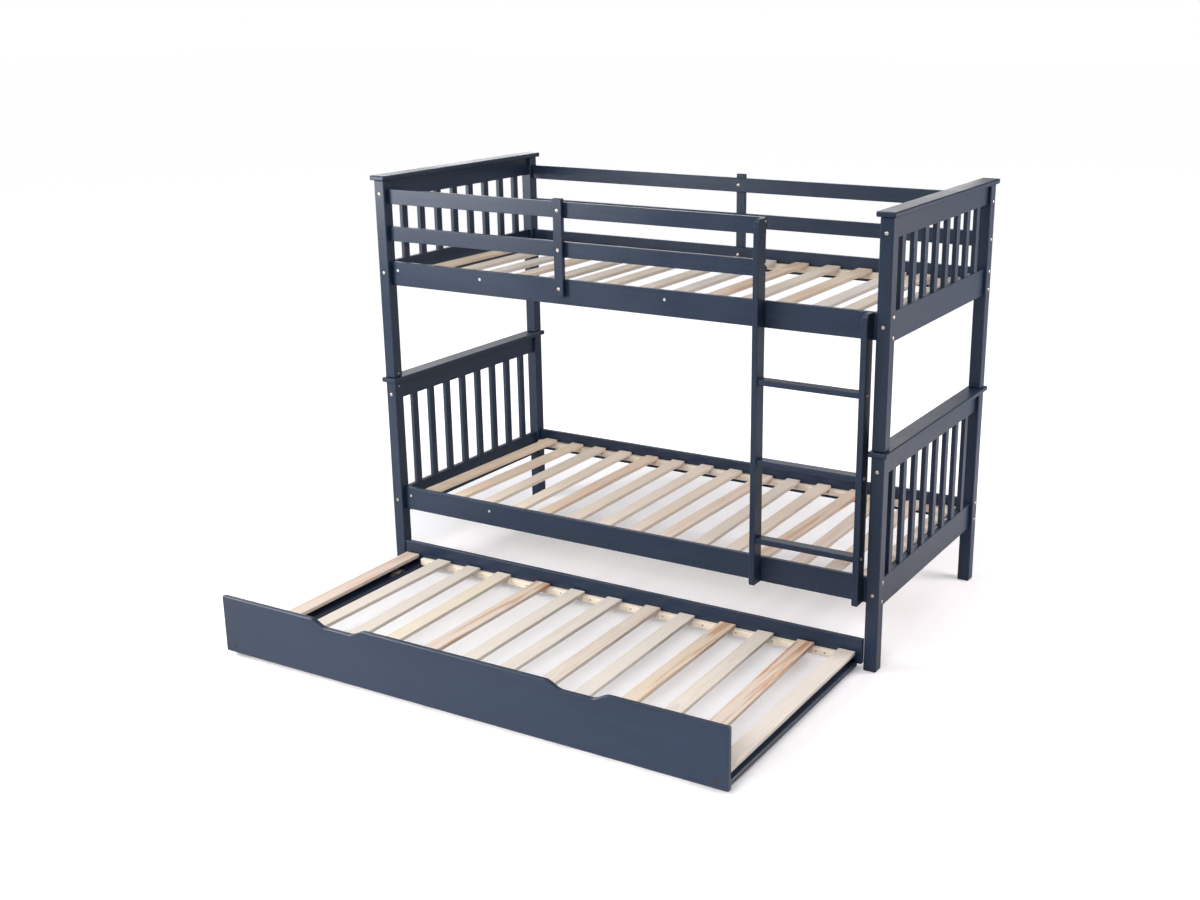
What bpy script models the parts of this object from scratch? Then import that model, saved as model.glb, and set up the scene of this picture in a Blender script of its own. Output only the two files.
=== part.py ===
"""Bunk bed with a trundle: two single beds stacked on pins, guard rails, a ladder and a pull-out bed.

Metres, +Z up. +X runs from the head end to the foot end, where the ladder hangs. The trundle pulls
out towards -Y, and it stands pulled right out here. The origin is on the floor, under the middle
of everything that stands on it.
"""
import math

import bmesh
import bpy
from mathutils import Matrix, Vector

# Gaps and rounding
FIT = 0.0003
CUT_OVERRUN = 0.002
POST_EASE = 0.003
BOARD_EASE = 0.002

# Bed outline, over the posts
BED_LENGTH = 2.020
BED_WIDTH = 0.970
POST = 0.045

# Heights of the two tiers: posts, their cap boards, end rails and side rails
LOWER_POST_HEIGHT = 0.740
UPPER_POST_HEIGHT = 0.7385
CAP_THICKNESS = 0.017
CAP_END_OVERHANG = 0.010
CAP_SIDE_OVERHANG = 0.012
END_RAIL_THICKNESS = 0.019
END_TOP_RAIL_HEIGHT = 0.070
END_BOTTOM_RAIL_HEIGHT = 0.098
LOWER_END_RAIL_RISE = 0.213
UPPER_END_RAIL_RISE = 0.343
LOWER_SIDE_RAIL_RISE = 0.2325
UPPER_SIDE_RAIL_RISE = 0.3525

# Spindles of the end panels
SPINDLE_COUNT = 8
SPINDLE_WIDTH = 0.030
SPINDLE_THICKNESS = 0.016
SPINDLE_TENON = 0.012

# Side rails and guard boards
RAIL_THICKNESS = 0.018
SIDE_RAIL_HEIGHT = 0.088
FRONT_RAIL_RECESS = 0.0215
REAR_RAIL_RECESS = 0.012
GUARD_HEIGHT = 0.054
GUARD_GAP = 0.0815
TOP_GUARD_DROP = 0.0321
SUPPORT_WIDTH = 0.036
SUPPORT_THICKNESS = 0.018
SUPPORT_FRONT_X = -0.2115
SUPPORT_REAR_X = 0
SUPPORT_ABOVE_GUARD = 0.014
SUPPORT_BELOW_RAIL_TOP = 0.058

# Slats of the two fixed beds, and the cleats that they lie on
SLAT_THICKNESS = 0.013
SLAT_END_GAP = 0.008
BED_SLAT_COUNT = 15
BED_SLAT_WIDTH = 0.056
BED_SLAT_INSET = 0.0655
SLAT_TOP_BELOW_RAIL = 0.0315
CLEAT_THICKNESS = 0.020
CLEAT_HEIGHT = 0.025
SLAT_LET_IN = 0.001

# Ladder
STILE_WIDTH = 0.020
STILE_DEPTH = 0.054
STILE_TOP_RADIUS = 0.026
STILE_FOOT_RADIUS = 0.008
LADDER_CLEAR_WIDTH = 0.354
LADDER_TO_POST = 0.017
RUNG_COUNT = 3
RUNG_THICKNESS = 0.019
RUNG_DEPTH = 0.040
RUNG_SETBACK = 0.0045
FIRST_RUNG_HEIGHT = 0.3935
RUNG_PITCH = 0.273

# Trundle
TRUNDLE_END_PLAY = 0.006
TRUNDLE_DEPTH = 0.964
TRUNDLE_BOARD = 0.018
PANEL_HEIGHT = 0.198
PANEL_CLEARANCE = 0.018
DIP_FROM_END = 0.503
DIP_LENGTH = 0.225
DIP_DEPTH = 0.022
DIP_SHOULDER = 0.062
REAR_BOARD_HEIGHT = 0.088
REAR_BOARD_CLEARANCE = 0.020
CASTER_BOARD_WIDTH = 0.070
CASTER_BOARD_INSET = 0.014
CASTER_BOARD_CLEARANCE = 0.012
BATTEN_WIDTH = 0.018
BATTEN_INSET = 0.039
TRUNDLE_DECK_HEIGHT = 0.052
TRUNDLE_SLAT_COUNT = 13
TRUNDLE_SLAT_WIDTH = 0.060
TRUNDLE_SLAT_END_GAP = 0.006
TRUNDLE_CLEAT_THICKNESS = 0.018
TRUNDLE_CLEAT_HEIGHT = 0.025
CAP_PLUG_RADIUS = 0.011
CAP_PLUG_PROUD = 0.0012
CAP_PLUG_DEPTH = 0.005

# Casters
WHEEL_RADIUS = 0.018
WHEEL_WIDTH = 0.014
WHEEL_HUB_WIDTH = 0.010
WHEEL_HUB_RADIUS = 0.011
WHEEL_ROUND = 0.002
WHEEL_FROM_PANEL = 0.150
WHEEL_FROM_REAR = 0.140
AXLE_RADIUS = 0.003
AXLE_PLAY = 0.0004
AXLE_HEAD_RADIUS = 0.0045
AXLE_HEAD = 0.001
CASTER_PLATE = 0.0015
STRAP_LIP = 0.001
CHEEK_PLAY = 0.001
CHEEK_BELOW_AXLE = 0.005
CASTER_HEADROOM = 0.0015
CHEEK_LENGTH = 0.022
HOUSING_HALF_LENGTH = 0.0225
FLANGE_LENGTH = 0.014
SLOT_SIDE_PLAY = 0.0015
SLOT_END_PLAY = 0.002

# Bolt holes and stacking pins
BOLT_RADIUS = 0.003
BOLT_PLAY = 0.0005
BOLT_GRIP = 0.030
END_BOLT_TOP_DROP = 0.049
END_BOLT_BOTTOM_RISE = 0.057
SIDE_BOLT_SPREAD = 0.033
RAIL_BOLT_DROP = 0.0315
LADDER_BOLT_DROP = 0.016
PIN_RADIUS = 0.005
PIN_LENGTH = 0.070
PIN_PLAY = 0.0005

HOLE_SIDES = 8
TURN_SIDES = 12
WHEEL_SIDES = 20
ARC_STEPS = 5
DIP_STEPS = 8

# Worked out from the sizes above
POST_X = (BED_LENGTH - POST) / 2
POST_Y = (BED_WIDTH - POST) / 2
INNER_X = BED_LENGTH / 2 - POST
INNER_Y = BED_WIDTH / 2 - POST
LOWER_CAP_Z = LOWER_POST_HEIGHT + FIT
UPPER_BASE = LOWER_CAP_Z + CAP_THICKNESS + FIT
UPPER_CAP_Z = UPPER_BASE + UPPER_POST_HEIGHT + FIT
FRONT_RAIL_Y = -BED_WIDTH / 2 + FRONT_RAIL_RECESS
REAR_RAIL_Y = BED_WIDTH / 2 - REAR_RAIL_RECESS
LOWER_SIDE_RAIL_TOP = LOWER_SIDE_RAIL_RISE + SIDE_RAIL_HEIGHT
UPPER_SIDE_RAIL_TOP = UPPER_BASE + UPPER_SIDE_RAIL_RISE + SIDE_RAIL_HEIGHT
TOP_GUARD_TOP = UPPER_CAP_Z - FIT - TOP_GUARD_DROP
LOWER_GUARD_TOP = TOP_GUARD_TOP - GUARD_HEIGHT - GUARD_GAP
RIGHT_STILE_X = INNER_X - LADDER_TO_POST - STILE_WIDTH
LEFT_STILE_X = RIGHT_STILE_X - LADDER_CLEAR_WIDTH - STILE_WIDTH
STILE_FRONT_Y = FRONT_RAIL_Y - FIT - STILE_DEPTH
TRAVEL = TRUNDLE_DEPTH - TRUNDLE_BOARD
PANEL_FRONT_Y = -BED_WIDTH / 2 - TRAVEL
FRONT_REACH = -PANEL_FRONT_Y + CAP_PLUG_PROUD
REAR_REACH = BED_WIDTH / 2 + CAP_SIDE_OVERHANG
BED_CENTRE_Y = (FRONT_REACH - REAR_REACH) / 2
TRUNDLE_END_X = INNER_X - TRUNDLE_END_PLAY
DIP_CENTRE_X = TRUNDLE_END_X - DIP_FROM_END
BATTEN_X = TRUNDLE_END_X - BATTEN_INSET
CASTER_BOARD_OUTER_X = TRUNDLE_END_X - CASTER_BOARD_INSET
PANEL_BACK = TRUNDLE_BOARD
REAR_BOARD_FRONT = TRUNDLE_DEPTH - TRUNDLE_BOARD
CASTER_BOARD_TOP = CASTER_BOARD_CLEARANCE + TRUNDLE_BOARD
CASTER_BOARD_INNER_X = CASTER_BOARD_OUTER_X - CASTER_BOARD_WIDTH
WHEEL_X = (CASTER_BOARD_INNER_X + BATTEN_X - BATTEN_WIDTH / 2) / 2
CHEEK_INNER = WHEEL_WIDTH / 2 + CHEEK_PLAY
CHEEK_OUTER = CHEEK_INNER + CASTER_PLATE
SLOT_HALF_WIDTH = CHEEK_OUTER + FIT + AXLE_HEAD + SLOT_SIDE_PLAY
SLOT_HALF_LENGTH = HOUSING_HALF_LENGTH + SLOT_END_PLAY
HOUSING_TOP = 2 * WHEEL_RADIUS + CASTER_HEADROOM + CASTER_PLATE


def paint(name, colour, roughness, metallic=0):
    """A plain material for one kind of finish."""
    finish = bpy.data.materials.new(name)
    finish.use_nodes = True
    shader = finish.node_tree.nodes["Principled BSDF"]
    shader.inputs["Base Color"].default_value = (*colour, 1)
    shader.inputs["Roughness"].default_value = roughness
    shader.inputs["Metallic"].default_value = metallic
    return finish


def empty(name, location, parent=None):
    """A named origin that pieces are placed from."""
    origin = bpy.data.objects.new(name, None)
    origin.location = location
    origin.parent = parent
    bpy.context.scene.collection.objects.link(origin)
    return origin


def add_object(name, mesh_data, parent, finish, location=(0, 0, 0)):
    """One sub-part, placed from its parent's origin."""
    mesh = bpy.data.meshes.new(name)
    bmesh.ops.recalc_face_normals(mesh_data, faces=mesh_data.faces)
    mesh_data.to_mesh(mesh)
    mesh_data.free()
    piece = bpy.data.objects.new(name, mesh)
    piece.location = location
    piece.parent = parent
    if finish:
        piece.data.materials.append(finish)
    bpy.context.scene.collection.objects.link(piece)
    return piece


def ease_edges(piece, width):
    """Breaks the sharp edges of a board."""
    bevel = piece.modifiers.new("eased_edges", "BEVEL")
    bevel.width = width
    bevel.segments = 1
    bevel.limit_method = "ANGLE"
    bevel.angle_limit = math.radians(50)


def smooth(piece):
    """Shades a turned piece smooth, with its corners kept sharp."""
    piece.data.shade_smooth()
    piece.data.set_sharp_from_angle(angle=math.radians(40))


def add_box(mesh_data, low, high):
    """Adds one box between two corners."""
    verts = []
    for z in (low[2], high[2]):
        for y in (low[1], high[1]):
            verts += [mesh_data.verts.new((x, y, z)) for x in (low[0], high[0])]
    for loop in ((0, 1, 3, 2), (4, 6, 7, 5), (0, 4, 5, 1), (2, 3, 7, 6), (0, 2, 6, 4), (1, 5, 7, 3)):
        mesh_data.faces.new([verts[i] for i in loop])


def add_extrusion(mesh_data, outline, along):
    """Adds a solid: an outline carried straight along a vector."""
    face = mesh_data.faces.new([mesh_data.verts.new(point) for point in outline])
    grown = bmesh.ops.extrude_face_region(mesh_data, geom=[face])
    moved = [item for item in grown["geom"] if isinstance(item, bmesh.types.BMVert)]
    bmesh.ops.translate(mesh_data, verts=moved, vec=Vector(along))


def board(name, parent, finish, low, high, ease=BOARD_EASE):
    """One board between two corners given from the parent's origin; its own origin is its middle."""
    low = Vector(low)
    high = Vector(high)
    middle = (low + high) / 2
    mesh_data = bmesh.new()
    add_box(mesh_data, low - middle, high - middle)
    piece = add_object(name, mesh_data, parent, finish, middle)
    ease_edges(piece, ease)
    return piece


def boards(name, parent, finish, boxes, ease=BOARD_EASE):
    """A set of like boards that will be joined into one solid."""
    mesh_data = bmesh.new()
    for low, high in boxes:
        add_box(mesh_data, low, high)
    piece = add_object(name, mesh_data, parent, finish)
    if ease:
        ease_edges(piece, ease)
    return piece


def sawn_board(name, parent, finish, outline, normal, thickness, ease=BOARD_EASE):
    """A board sawn to an outline of 3-D points in one plane, and its thickness along the normal."""
    mesh_data = bmesh.new()
    add_extrusion(mesh_data, outline, Vector(normal) * thickness)
    piece = add_object(name, mesh_data, parent, finish)
    ease_edges(piece, ease)
    return piece


def add_turned(mesh_data, profile, start, direction, sides, ring=False):
    """Adds a turned solid: a profile of (distance along the axis, radius) spun about it.

    A ring's profile is a closed loop that stays off the axis. Any other starts and ends on it.
    """
    turn = Vector((0, 0, 1)).rotation_difference(Vector(direction)).to_matrix().to_4x4()
    place = Matrix.Translation(start) @ turn
    rows = []
    for along, radius in profile:
        if radius == 0:
            rows.append([mesh_data.verts.new(place @ Vector((0, 0, along)))])
            continue
        angles = [2 * math.pi * i / sides for i in range(sides)]
        rows.append([mesh_data.verts.new(place @ Vector((radius * math.cos(a), radius * math.sin(a), along)))
                     for a in angles])
    pairs = list(zip(rows, rows[1:]))
    if ring:
        pairs.append((rows[-1], rows[0]))
    for first, second in pairs:
        for i in range(sides):
            j = (i + 1) % sides
            if len(first) == 1:
                mesh_data.faces.new((first[0], second[i], second[j]))
            elif len(second) == 1:
                mesh_data.faces.new((first[i], second[0], first[j]))
            else:
                mesh_data.faces.new((first[i], second[i], second[j], first[j]))


def arc(centre, radius, start, end, steps=ARC_STEPS):
    """Points of an arc in a plane, angles in degrees, as (across, up) pairs."""
    angles = [math.radians(start + (end - start) * i / steps) for i in range(steps + 1)]
    return [(centre[0] + radius * math.cos(a), centre[1] + radius * math.sin(a)) for a in angles]


class Drilling:
    """Holes to be cut, kept by the piece that they go through, and cut at the end."""

    def __init__(self, parent):
        self.parent = parent
        self.holes = {}

    def drill(self, pieces, start, direction, length, radius, sides=TURN_SIDES):
        """Notes a round hole from a start point, through or into each of the pieces."""
        hole = (Vector(start), Vector(direction), length, radius, sides)
        for piece in pieces:
            self.holes.setdefault(piece.name, []).append(hole)

    def bolt(self, pieces, seat, outward, length):
        """Notes the hole of one bolt, whose head lies on the seat and whose shank runs inwards."""
        outward = Vector(outward)
        mouth = Vector(seat) + outward * CUT_OVERRUN
        self.drill(pieces, mouth, -outward, length + 2 * CUT_OVERRUN, BOLT_RADIUS + BOLT_PLAY, HOLE_SIDES)

    def cut(self):
        """Cuts each piece's holes with one cutter."""
        for name, holes in self.holes.items():
            mesh_data = bmesh.new()
            for start, direction, length, radius, sides in holes:
                add_turned(mesh_data, [(0, 0), (0, radius), (length, radius), (length, 0)],
                           start, direction, sides)
            cutter = add_object(name + "_holes", mesh_data, self.parent, None)
            cut_away(bpy.data.objects[name], cutter)


def combine(piece, other, operation):
    """Joins the other object's shape to the piece, or cuts it away, and hides the other object."""
    other.hide_render = True
    other.display_type = "WIRE"
    step = piece.modifiers.new(other.name, "BOOLEAN")
    step.operation = operation
    step.solver = "EXACT"
    step.object = other


def cut_away(piece, cutter):
    """Takes the cutter's shape out of the piece."""
    combine(piece, cutter, "DIFFERENCE")


def glue(piece, other):
    """Makes the piece and the boards that are glued or nailed to it one solid."""
    combine(piece, other, "UNION")


def spread(first, last, count):
    """Places spread evenly from the first to the last."""
    return [first + (last - first) * i / (count - 1) for i in range(count)]


def build_end(tier, base, post_height, end_rail_rise, end, side, bed, finish):
    """One end of a tier: two posts, the cap board, and the glued panel of two rails and its spindles."""
    prefix = tier + "_" + end
    top = base + post_height
    middle_x = side * POST_X
    posts = {}
    for place, sign in (("front", -1), ("rear", 1)):
        low = (middle_x - POST / 2, sign * POST_Y - POST / 2, base)
        high = (middle_x + POST / 2, sign * POST_Y + POST / 2, top)
        posts[place] = board(prefix + "_post_" + place, bed, finish, low, high, POST_EASE)
    cap = board(prefix + "_cap", bed, finish,
                (middle_x - POST / 2 - CAP_END_OVERHANG, -BED_WIDTH / 2 - CAP_SIDE_OVERHANG, top + FIT),
                (middle_x + POST / 2 + CAP_END_OVERHANG, BED_WIDTH / 2 + CAP_SIDE_OVERHANG,
                 top + FIT + CAP_THICKNESS), POST_EASE)
    rail_low_x = middle_x - END_RAIL_THICKNESS / 2
    rail_high_x = middle_x + END_RAIL_THICKNESS / 2
    rail_y = INNER_Y - FIT
    bottom_low = base + end_rail_rise
    bottom_high = bottom_low + END_BOTTOM_RAIL_HEIGHT
    top_low = top - END_TOP_RAIL_HEIGHT
    panel = boards(prefix + "_panel", bed, finish,
                   [((rail_low_x, -rail_y, bottom_low), (rail_high_x, rail_y, bottom_high)),
                    ((rail_low_x, -rail_y, top_low), (rail_high_x, rail_y, top))])
    gap = (2 * INNER_Y - SPINDLE_COUNT * SPINDLE_WIDTH) / (SPINDLE_COUNT + 1)
    first = -INNER_Y + gap + SPINDLE_WIDTH / 2
    half_x = SPINDLE_THICKNESS / 2
    half_y = SPINDLE_WIDTH / 2
    spindles = []
    for y in spread(first, -first, SPINDLE_COUNT):
        spindles.append(((middle_x - half_x, y - half_y, bottom_high - SPINDLE_TENON),
                         (middle_x + half_x, y + half_y, top_low + SPINDLE_TENON)))
    glue(panel, boards(prefix + "_spindles", bed, None, spindles))
    return {"posts": posts, "cap": cap, "panel": panel, "middle_x": middle_x,
            "bolt_heights": (bottom_low + END_BOLT_BOTTOM_RISE, top - END_BOLT_TOP_DROP)}


def build_sides(tier, rail_bottom, bed, finish, wood):
    """The side rails of a tier, and its deck: slats let into the cleats along the rails' inner faces."""
    rail_x = INNER_X - FIT
    rail_top = rail_bottom + SIDE_RAIL_HEIGHT
    front_face = FRONT_RAIL_Y + RAIL_THICKNESS
    rear_face = REAR_RAIL_Y - RAIL_THICKNESS
    rails = {"front": board(tier + "_side_rail_front", bed, finish,
                            (-rail_x, FRONT_RAIL_Y, rail_bottom), (rail_x, front_face, rail_top)),
             "rear": board(tier + "_side_rail_rear", bed, finish,
                           (-rail_x, rear_face, rail_bottom), (rail_x, REAR_RAIL_Y, rail_top))}
    slat_low = rail_top - SLAT_TOP_BELOW_RAIL - SLAT_THICKNESS
    cleat_top = slat_low + SLAT_LET_IN
    cleats = [((-rail_x, front_face + FIT, cleat_top - CLEAT_HEIGHT),
               (rail_x, front_face + FIT + CLEAT_THICKNESS, cleat_top)),
              ((-rail_x, rear_face - FIT - CLEAT_THICKNESS, cleat_top - CLEAT_HEIGHT),
               (rail_x, rear_face - FIT, cleat_top))]
    slats = []
    for x in spread(-INNER_X + BED_SLAT_INSET, INNER_X - BED_SLAT_INSET, BED_SLAT_COUNT):
        slats.append(((x - BED_SLAT_WIDTH / 2, front_face + SLAT_END_GAP, slat_low),
                      (x + BED_SLAT_WIDTH / 2, rear_face - SLAT_END_GAP, slat_low + SLAT_THICKNESS)))
    deck = boards(tier + "_slat_deck", bed, wood, slats, 0)
    glue(deck, boards(tier + "_slat_cleats", bed, None, cleats, 0))
    return rails


def build_guards(bed, finish):
    """Two guard boards along each side of the upper bed, and the upright that steadies each pair."""
    rail_x = INNER_X - FIT
    guards = {}
    for name, top in (("top", TOP_GUARD_TOP), ("lower", LOWER_GUARD_TOP)):
        bottom = top - GUARD_HEIGHT
        guards[name + "_front"] = board("guard_%s_front" % name, bed, finish,
                                        (-rail_x, FRONT_RAIL_Y, bottom),
                                        (LEFT_STILE_X + STILE_WIDTH, FRONT_RAIL_Y + RAIL_THICKNESS, top))
        guards[name + "_rear"] = board("guard_%s_rear" % name, bed, finish,
                                       (-rail_x, REAR_RAIL_Y - RAIL_THICKNESS, bottom),
                                       (rail_x, REAR_RAIL_Y, top))
    top = TOP_GUARD_TOP + SUPPORT_ABOVE_GUARD
    bottom = UPPER_SIDE_RAIL_TOP - SUPPORT_BELOW_RAIL_TOP
    half = SUPPORT_WIDTH / 2
    guards["support_front"] = board("guard_support_front", bed, finish,
                                    (SUPPORT_FRONT_X - half, FRONT_RAIL_Y - FIT - SUPPORT_THICKNESS, bottom),
                                    (SUPPORT_FRONT_X + half, FRONT_RAIL_Y - FIT, top))
    guards["support_rear"] = board("guard_support_rear", bed, finish,
                                   (SUPPORT_REAR_X - half, REAR_RAIL_Y + FIT, bottom),
                                   (SUPPORT_REAR_X + half, REAR_RAIL_Y + FIT + SUPPORT_THICKNESS, top))
    return guards


def stile_outline(x, foot, top):
    """A ladder stile from the side: straight at the back, rounded at the front of its top and foot."""
    front = STILE_FRONT_Y
    back = front + STILE_DEPTH
    crown = arc((front + STILE_TOP_RADIUS, top - STILE_TOP_RADIUS), STILE_TOP_RADIUS, 90, 180)
    toe = arc((front + STILE_FOOT_RADIUS, foot + STILE_FOOT_RADIUS), STILE_FOOT_RADIUS, 180, 270)
    return [Vector((x, y, z)) for y, z in [(back, foot), (back, top)] + crown + toe]


def build_ladder(bed, finish):
    """Two stiles hung on the front rails, and the treads between them."""
    foot = LOWER_SIDE_RAIL_RISE
    left = sawn_board("ladder_stile_left", bed, finish,
                      stile_outline(LEFT_STILE_X, foot, TOP_GUARD_TOP), (1, 0, 0), STILE_WIDTH)
    right = sawn_board("ladder_stile_right", bed, finish,
                       stile_outline(RIGHT_STILE_X, foot, UPPER_SIDE_RAIL_TOP), (1, 0, 0), STILE_WIDTH)
    front = STILE_FRONT_Y + RUNG_SETBACK
    rungs = []
    for i in range(RUNG_COUNT):
        z = FIRST_RUNG_HEIGHT + i * RUNG_PITCH
        low = (LEFT_STILE_X + STILE_WIDTH + FIT, front, z - RUNG_THICKNESS / 2)
        high = (RIGHT_STILE_X - FIT, front + RUNG_DEPTH, z + RUNG_THICKNESS / 2)
        rungs.append(board("ladder_rung_%d" % (i + 1), bed, finish, low, high))
    return {"left": left, "right": right, "rungs": rungs}


def panel_outline():
    """The trundle's front panel from the front: a rectangle with two finger dips in its top edge."""
    foot = PANEL_CLEARANCE
    top = foot + PANEL_HEIGHT
    points = [(-TRUNDLE_END_X, foot), (TRUNDLE_END_X, foot), (TRUNDLE_END_X, top)]
    for centre in (DIP_CENTRE_X, -DIP_CENTRE_X):
        steps = [i / DIP_STEPS for i in range(DIP_STEPS + 1)]
        edge = DIP_LENGTH / 2
        falling = [(centre + edge - DIP_SHOULDER * s, top - DIP_DEPTH * (1 - math.cos(math.pi * s)) / 2)
                   for s in steps]
        rising = [(2 * centre - x, z) for x, z in reversed(falling)]
        points += falling + rising
    points.append((-TRUNDLE_END_X, top))
    return [Vector((x, 0, z)) for x, z in points]


def build_trundle_frame(trundle, finish, wood):
    """The trundle's boards, and its deck: slats let into the cleats, and one on each side batten."""
    panel = sawn_board("trundle_front_panel", trundle, finish, panel_outline(), (0, 1, 0), TRUNDLE_BOARD)
    board("trundle_rear_board", trundle, finish, (-TRUNDLE_END_X, REAR_BOARD_FRONT, REAR_BOARD_CLEARANCE),
          (TRUNDLE_END_X, TRUNDLE_DEPTH, REAR_BOARD_CLEARANCE + REAR_BOARD_HEIGHT))
    front = PANEL_BACK + FIT
    rear = REAR_BOARD_FRONT - FIT
    for name, sign in (("left", -1), ("right", 1)):
        edges = sorted((sign * CASTER_BOARD_INNER_X, sign * CASTER_BOARD_OUTER_X))
        caster_board = board("trundle_caster_board_" + name, trundle, finish,
                             (edges[0], front, CASTER_BOARD_CLEARANCE), (edges[1], rear, CASTER_BOARD_TOP))
        slots = bmesh.new()
        for y in wheel_places():
            add_box(slots, (sign * WHEEL_X - SLOT_HALF_WIDTH, y - SLOT_HALF_LENGTH,
                            CASTER_BOARD_CLEARANCE - CUT_OVERRUN),
                    (sign * WHEEL_X + SLOT_HALF_WIDTH, y + SLOT_HALF_LENGTH, CASTER_BOARD_TOP + CUT_OVERRUN))
        cut_away(caster_board, add_object("caster_slots_" + name, slots, trundle, None))
        board("trundle_side_batten_" + name, trundle, finish,
              (sign * BATTEN_X - BATTEN_WIDTH / 2, front, CASTER_BOARD_TOP + FIT),
              (sign * BATTEN_X + BATTEN_WIDTH / 2, rear, TRUNDLE_DECK_HEIGHT))
    cleat_x = CASTER_BOARD_INNER_X - FIT
    cleat_top = TRUNDLE_DECK_HEIGHT + FIT + SLAT_LET_IN
    cleat_low = cleat_top - TRUNDLE_CLEAT_HEIGHT
    cleats = boards("trundle_slat_cleats", trundle, None,
                    [((-cleat_x, front, cleat_low), (cleat_x, front + TRUNDLE_CLEAT_THICKNESS, cleat_top)),
                     ((-cleat_x, rear - TRUNDLE_CLEAT_THICKNESS, cleat_low), (cleat_x, rear, cleat_top))], 0)
    slat_low = TRUNDLE_DECK_HEIGHT + FIT
    slats = []
    for x in spread(-BATTEN_X, BATTEN_X, TRUNDLE_SLAT_COUNT):
        slats.append(((x - TRUNDLE_SLAT_WIDTH / 2, PANEL_BACK + TRUNDLE_SLAT_END_GAP, slat_low),
                      (x + TRUNDLE_SLAT_WIDTH / 2, REAR_BOARD_FRONT - TRUNDLE_SLAT_END_GAP,
                       slat_low + SLAT_THICKNESS)))
    board("trundle_end_slat_left", trundle, wood, *slats[0])
    board("trundle_end_slat_right", trundle, wood, *slats[-1])
    glue(boards("trundle_slat_deck", trundle, wood, slats[1:-1], 0), cleats)
    return panel


def wheel_places():
    """How far behind the panel's face each pair of wheels turns."""
    return (PANEL_BACK + WHEEL_FROM_PANEL, REAR_BOARD_FRONT - WHEEL_FROM_REAR)


def build_bracket(name, trundle, metal, x, y):
    """A caster's steel housing: a strap over the wheel, with a flange each way, and two cheeks under it."""
    half = HOUSING_HALF_LENGTH
    reach = half + FLANGE_LENGTH
    inside = half - CASTER_PLATE
    flange_low = CASTER_BOARD_TOP + FIT
    flange_top = flange_low + CASTER_PLATE
    under = HOUSING_TOP - CASTER_PLATE
    hat = [(-reach, flange_low), (-reach, flange_top), (-half, flange_top), (-half, HOUSING_TOP),
           (half, HOUSING_TOP), (half, flange_top), (reach, flange_top), (reach, flange_low),
           (inside, flange_low), (inside, under), (-inside, under), (-inside, flange_low)]
    strap_half = CHEEK_OUTER + STRAP_LIP
    side_view = [Vector((x - strap_half, y + along, up)) for along, up in hat]
    strap = bmesh.new()
    add_extrusion(strap, side_view, (2 * strap_half, 0, 0))
    bracket = add_object(name, strap, trundle, metal)
    cheeks = bmesh.new()
    foot = WHEEL_RADIUS - CHEEK_BELOW_AXLE
    for sign in (-1, 1):
        edges = sorted((x + sign * CHEEK_INNER, x + sign * CHEEK_OUTER))
        add_box(cheeks, (edges[0], y - CHEEK_LENGTH / 2, foot),
                (edges[1], y + CHEEK_LENGTH / 2, HOUSING_TOP - CASTER_PLATE / 2))
    glue(bracket, add_object(name + "_cheeks", cheeks, trundle, None))
    hole = bmesh.new()
    radius = AXLE_RADIUS + AXLE_PLAY
    add_turned(hole, [(0, 0), (0, radius), (2 * SLOT_HALF_WIDTH, radius), (2 * SLOT_HALF_WIDTH, 0)],
               (x - SLOT_HALF_WIDTH, y, WHEEL_RADIUS), (1, 0, 0), TURN_SIDES)
    cut_away(bracket, add_object(name + "_axle_hole", hole, trundle, None))


def build_caster(place, trundle, plastic, metal, x, y):
    """One caster: its housing, a riveted axle, and a wheel with its origin on the axle."""
    build_bracket("caster_bracket_" + place, trundle, metal, x, y)
    reach = CHEEK_OUTER + FIT
    rivet = [(-reach - AXLE_HEAD, 0), (-reach - AXLE_HEAD, AXLE_HEAD_RADIUS), (-reach, AXLE_HEAD_RADIUS),
             (-reach, AXLE_RADIUS), (reach, AXLE_RADIUS), (reach, AXLE_HEAD_RADIUS),
             (reach + AXLE_HEAD, AXLE_HEAD_RADIUS), (reach + AXLE_HEAD, 0)]
    axle = bmesh.new()
    add_turned(axle, rivet, (0, 0, 0), (1, 0, 0), TURN_SIDES)
    smooth(add_object("caster_axle_" + place, axle, trundle, metal, (x, y, WHEEL_RADIUS)))
    half = WHEEL_WIDTH / 2
    hub = WHEEL_HUB_WIDTH / 2
    bore = AXLE_RADIUS + AXLE_PLAY
    rim = [(-half, bore), (-half, WHEEL_HUB_RADIUS - WHEEL_ROUND), (-hub, WHEEL_HUB_RADIUS),
           (-half, WHEEL_HUB_RADIUS + WHEEL_ROUND), (-half, WHEEL_RADIUS - WHEEL_ROUND),
           (-half + WHEEL_ROUND, WHEEL_RADIUS)]
    profile = rim + [(-along, radius) for along, radius in reversed(rim)]
    wheel = bmesh.new()
    add_turned(wheel, profile, (0, 0, 0), (1, 0, 0), WHEEL_SIDES, ring=True)
    smooth(add_object("wheel_" + place, wheel, trundle, plastic, (x, y, WHEEL_RADIUS)))


def build_casters(trundle, plastic, metal):
    """Four casters, let into the caster boards near their ends."""
    for row, y in zip(("front", "rear"), wheel_places()):
        for side, sign in (("left", -1), ("right", 1)):
            build_caster(row + "_" + side, trundle, plastic, metal, sign * WHEEL_X, y)


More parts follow.
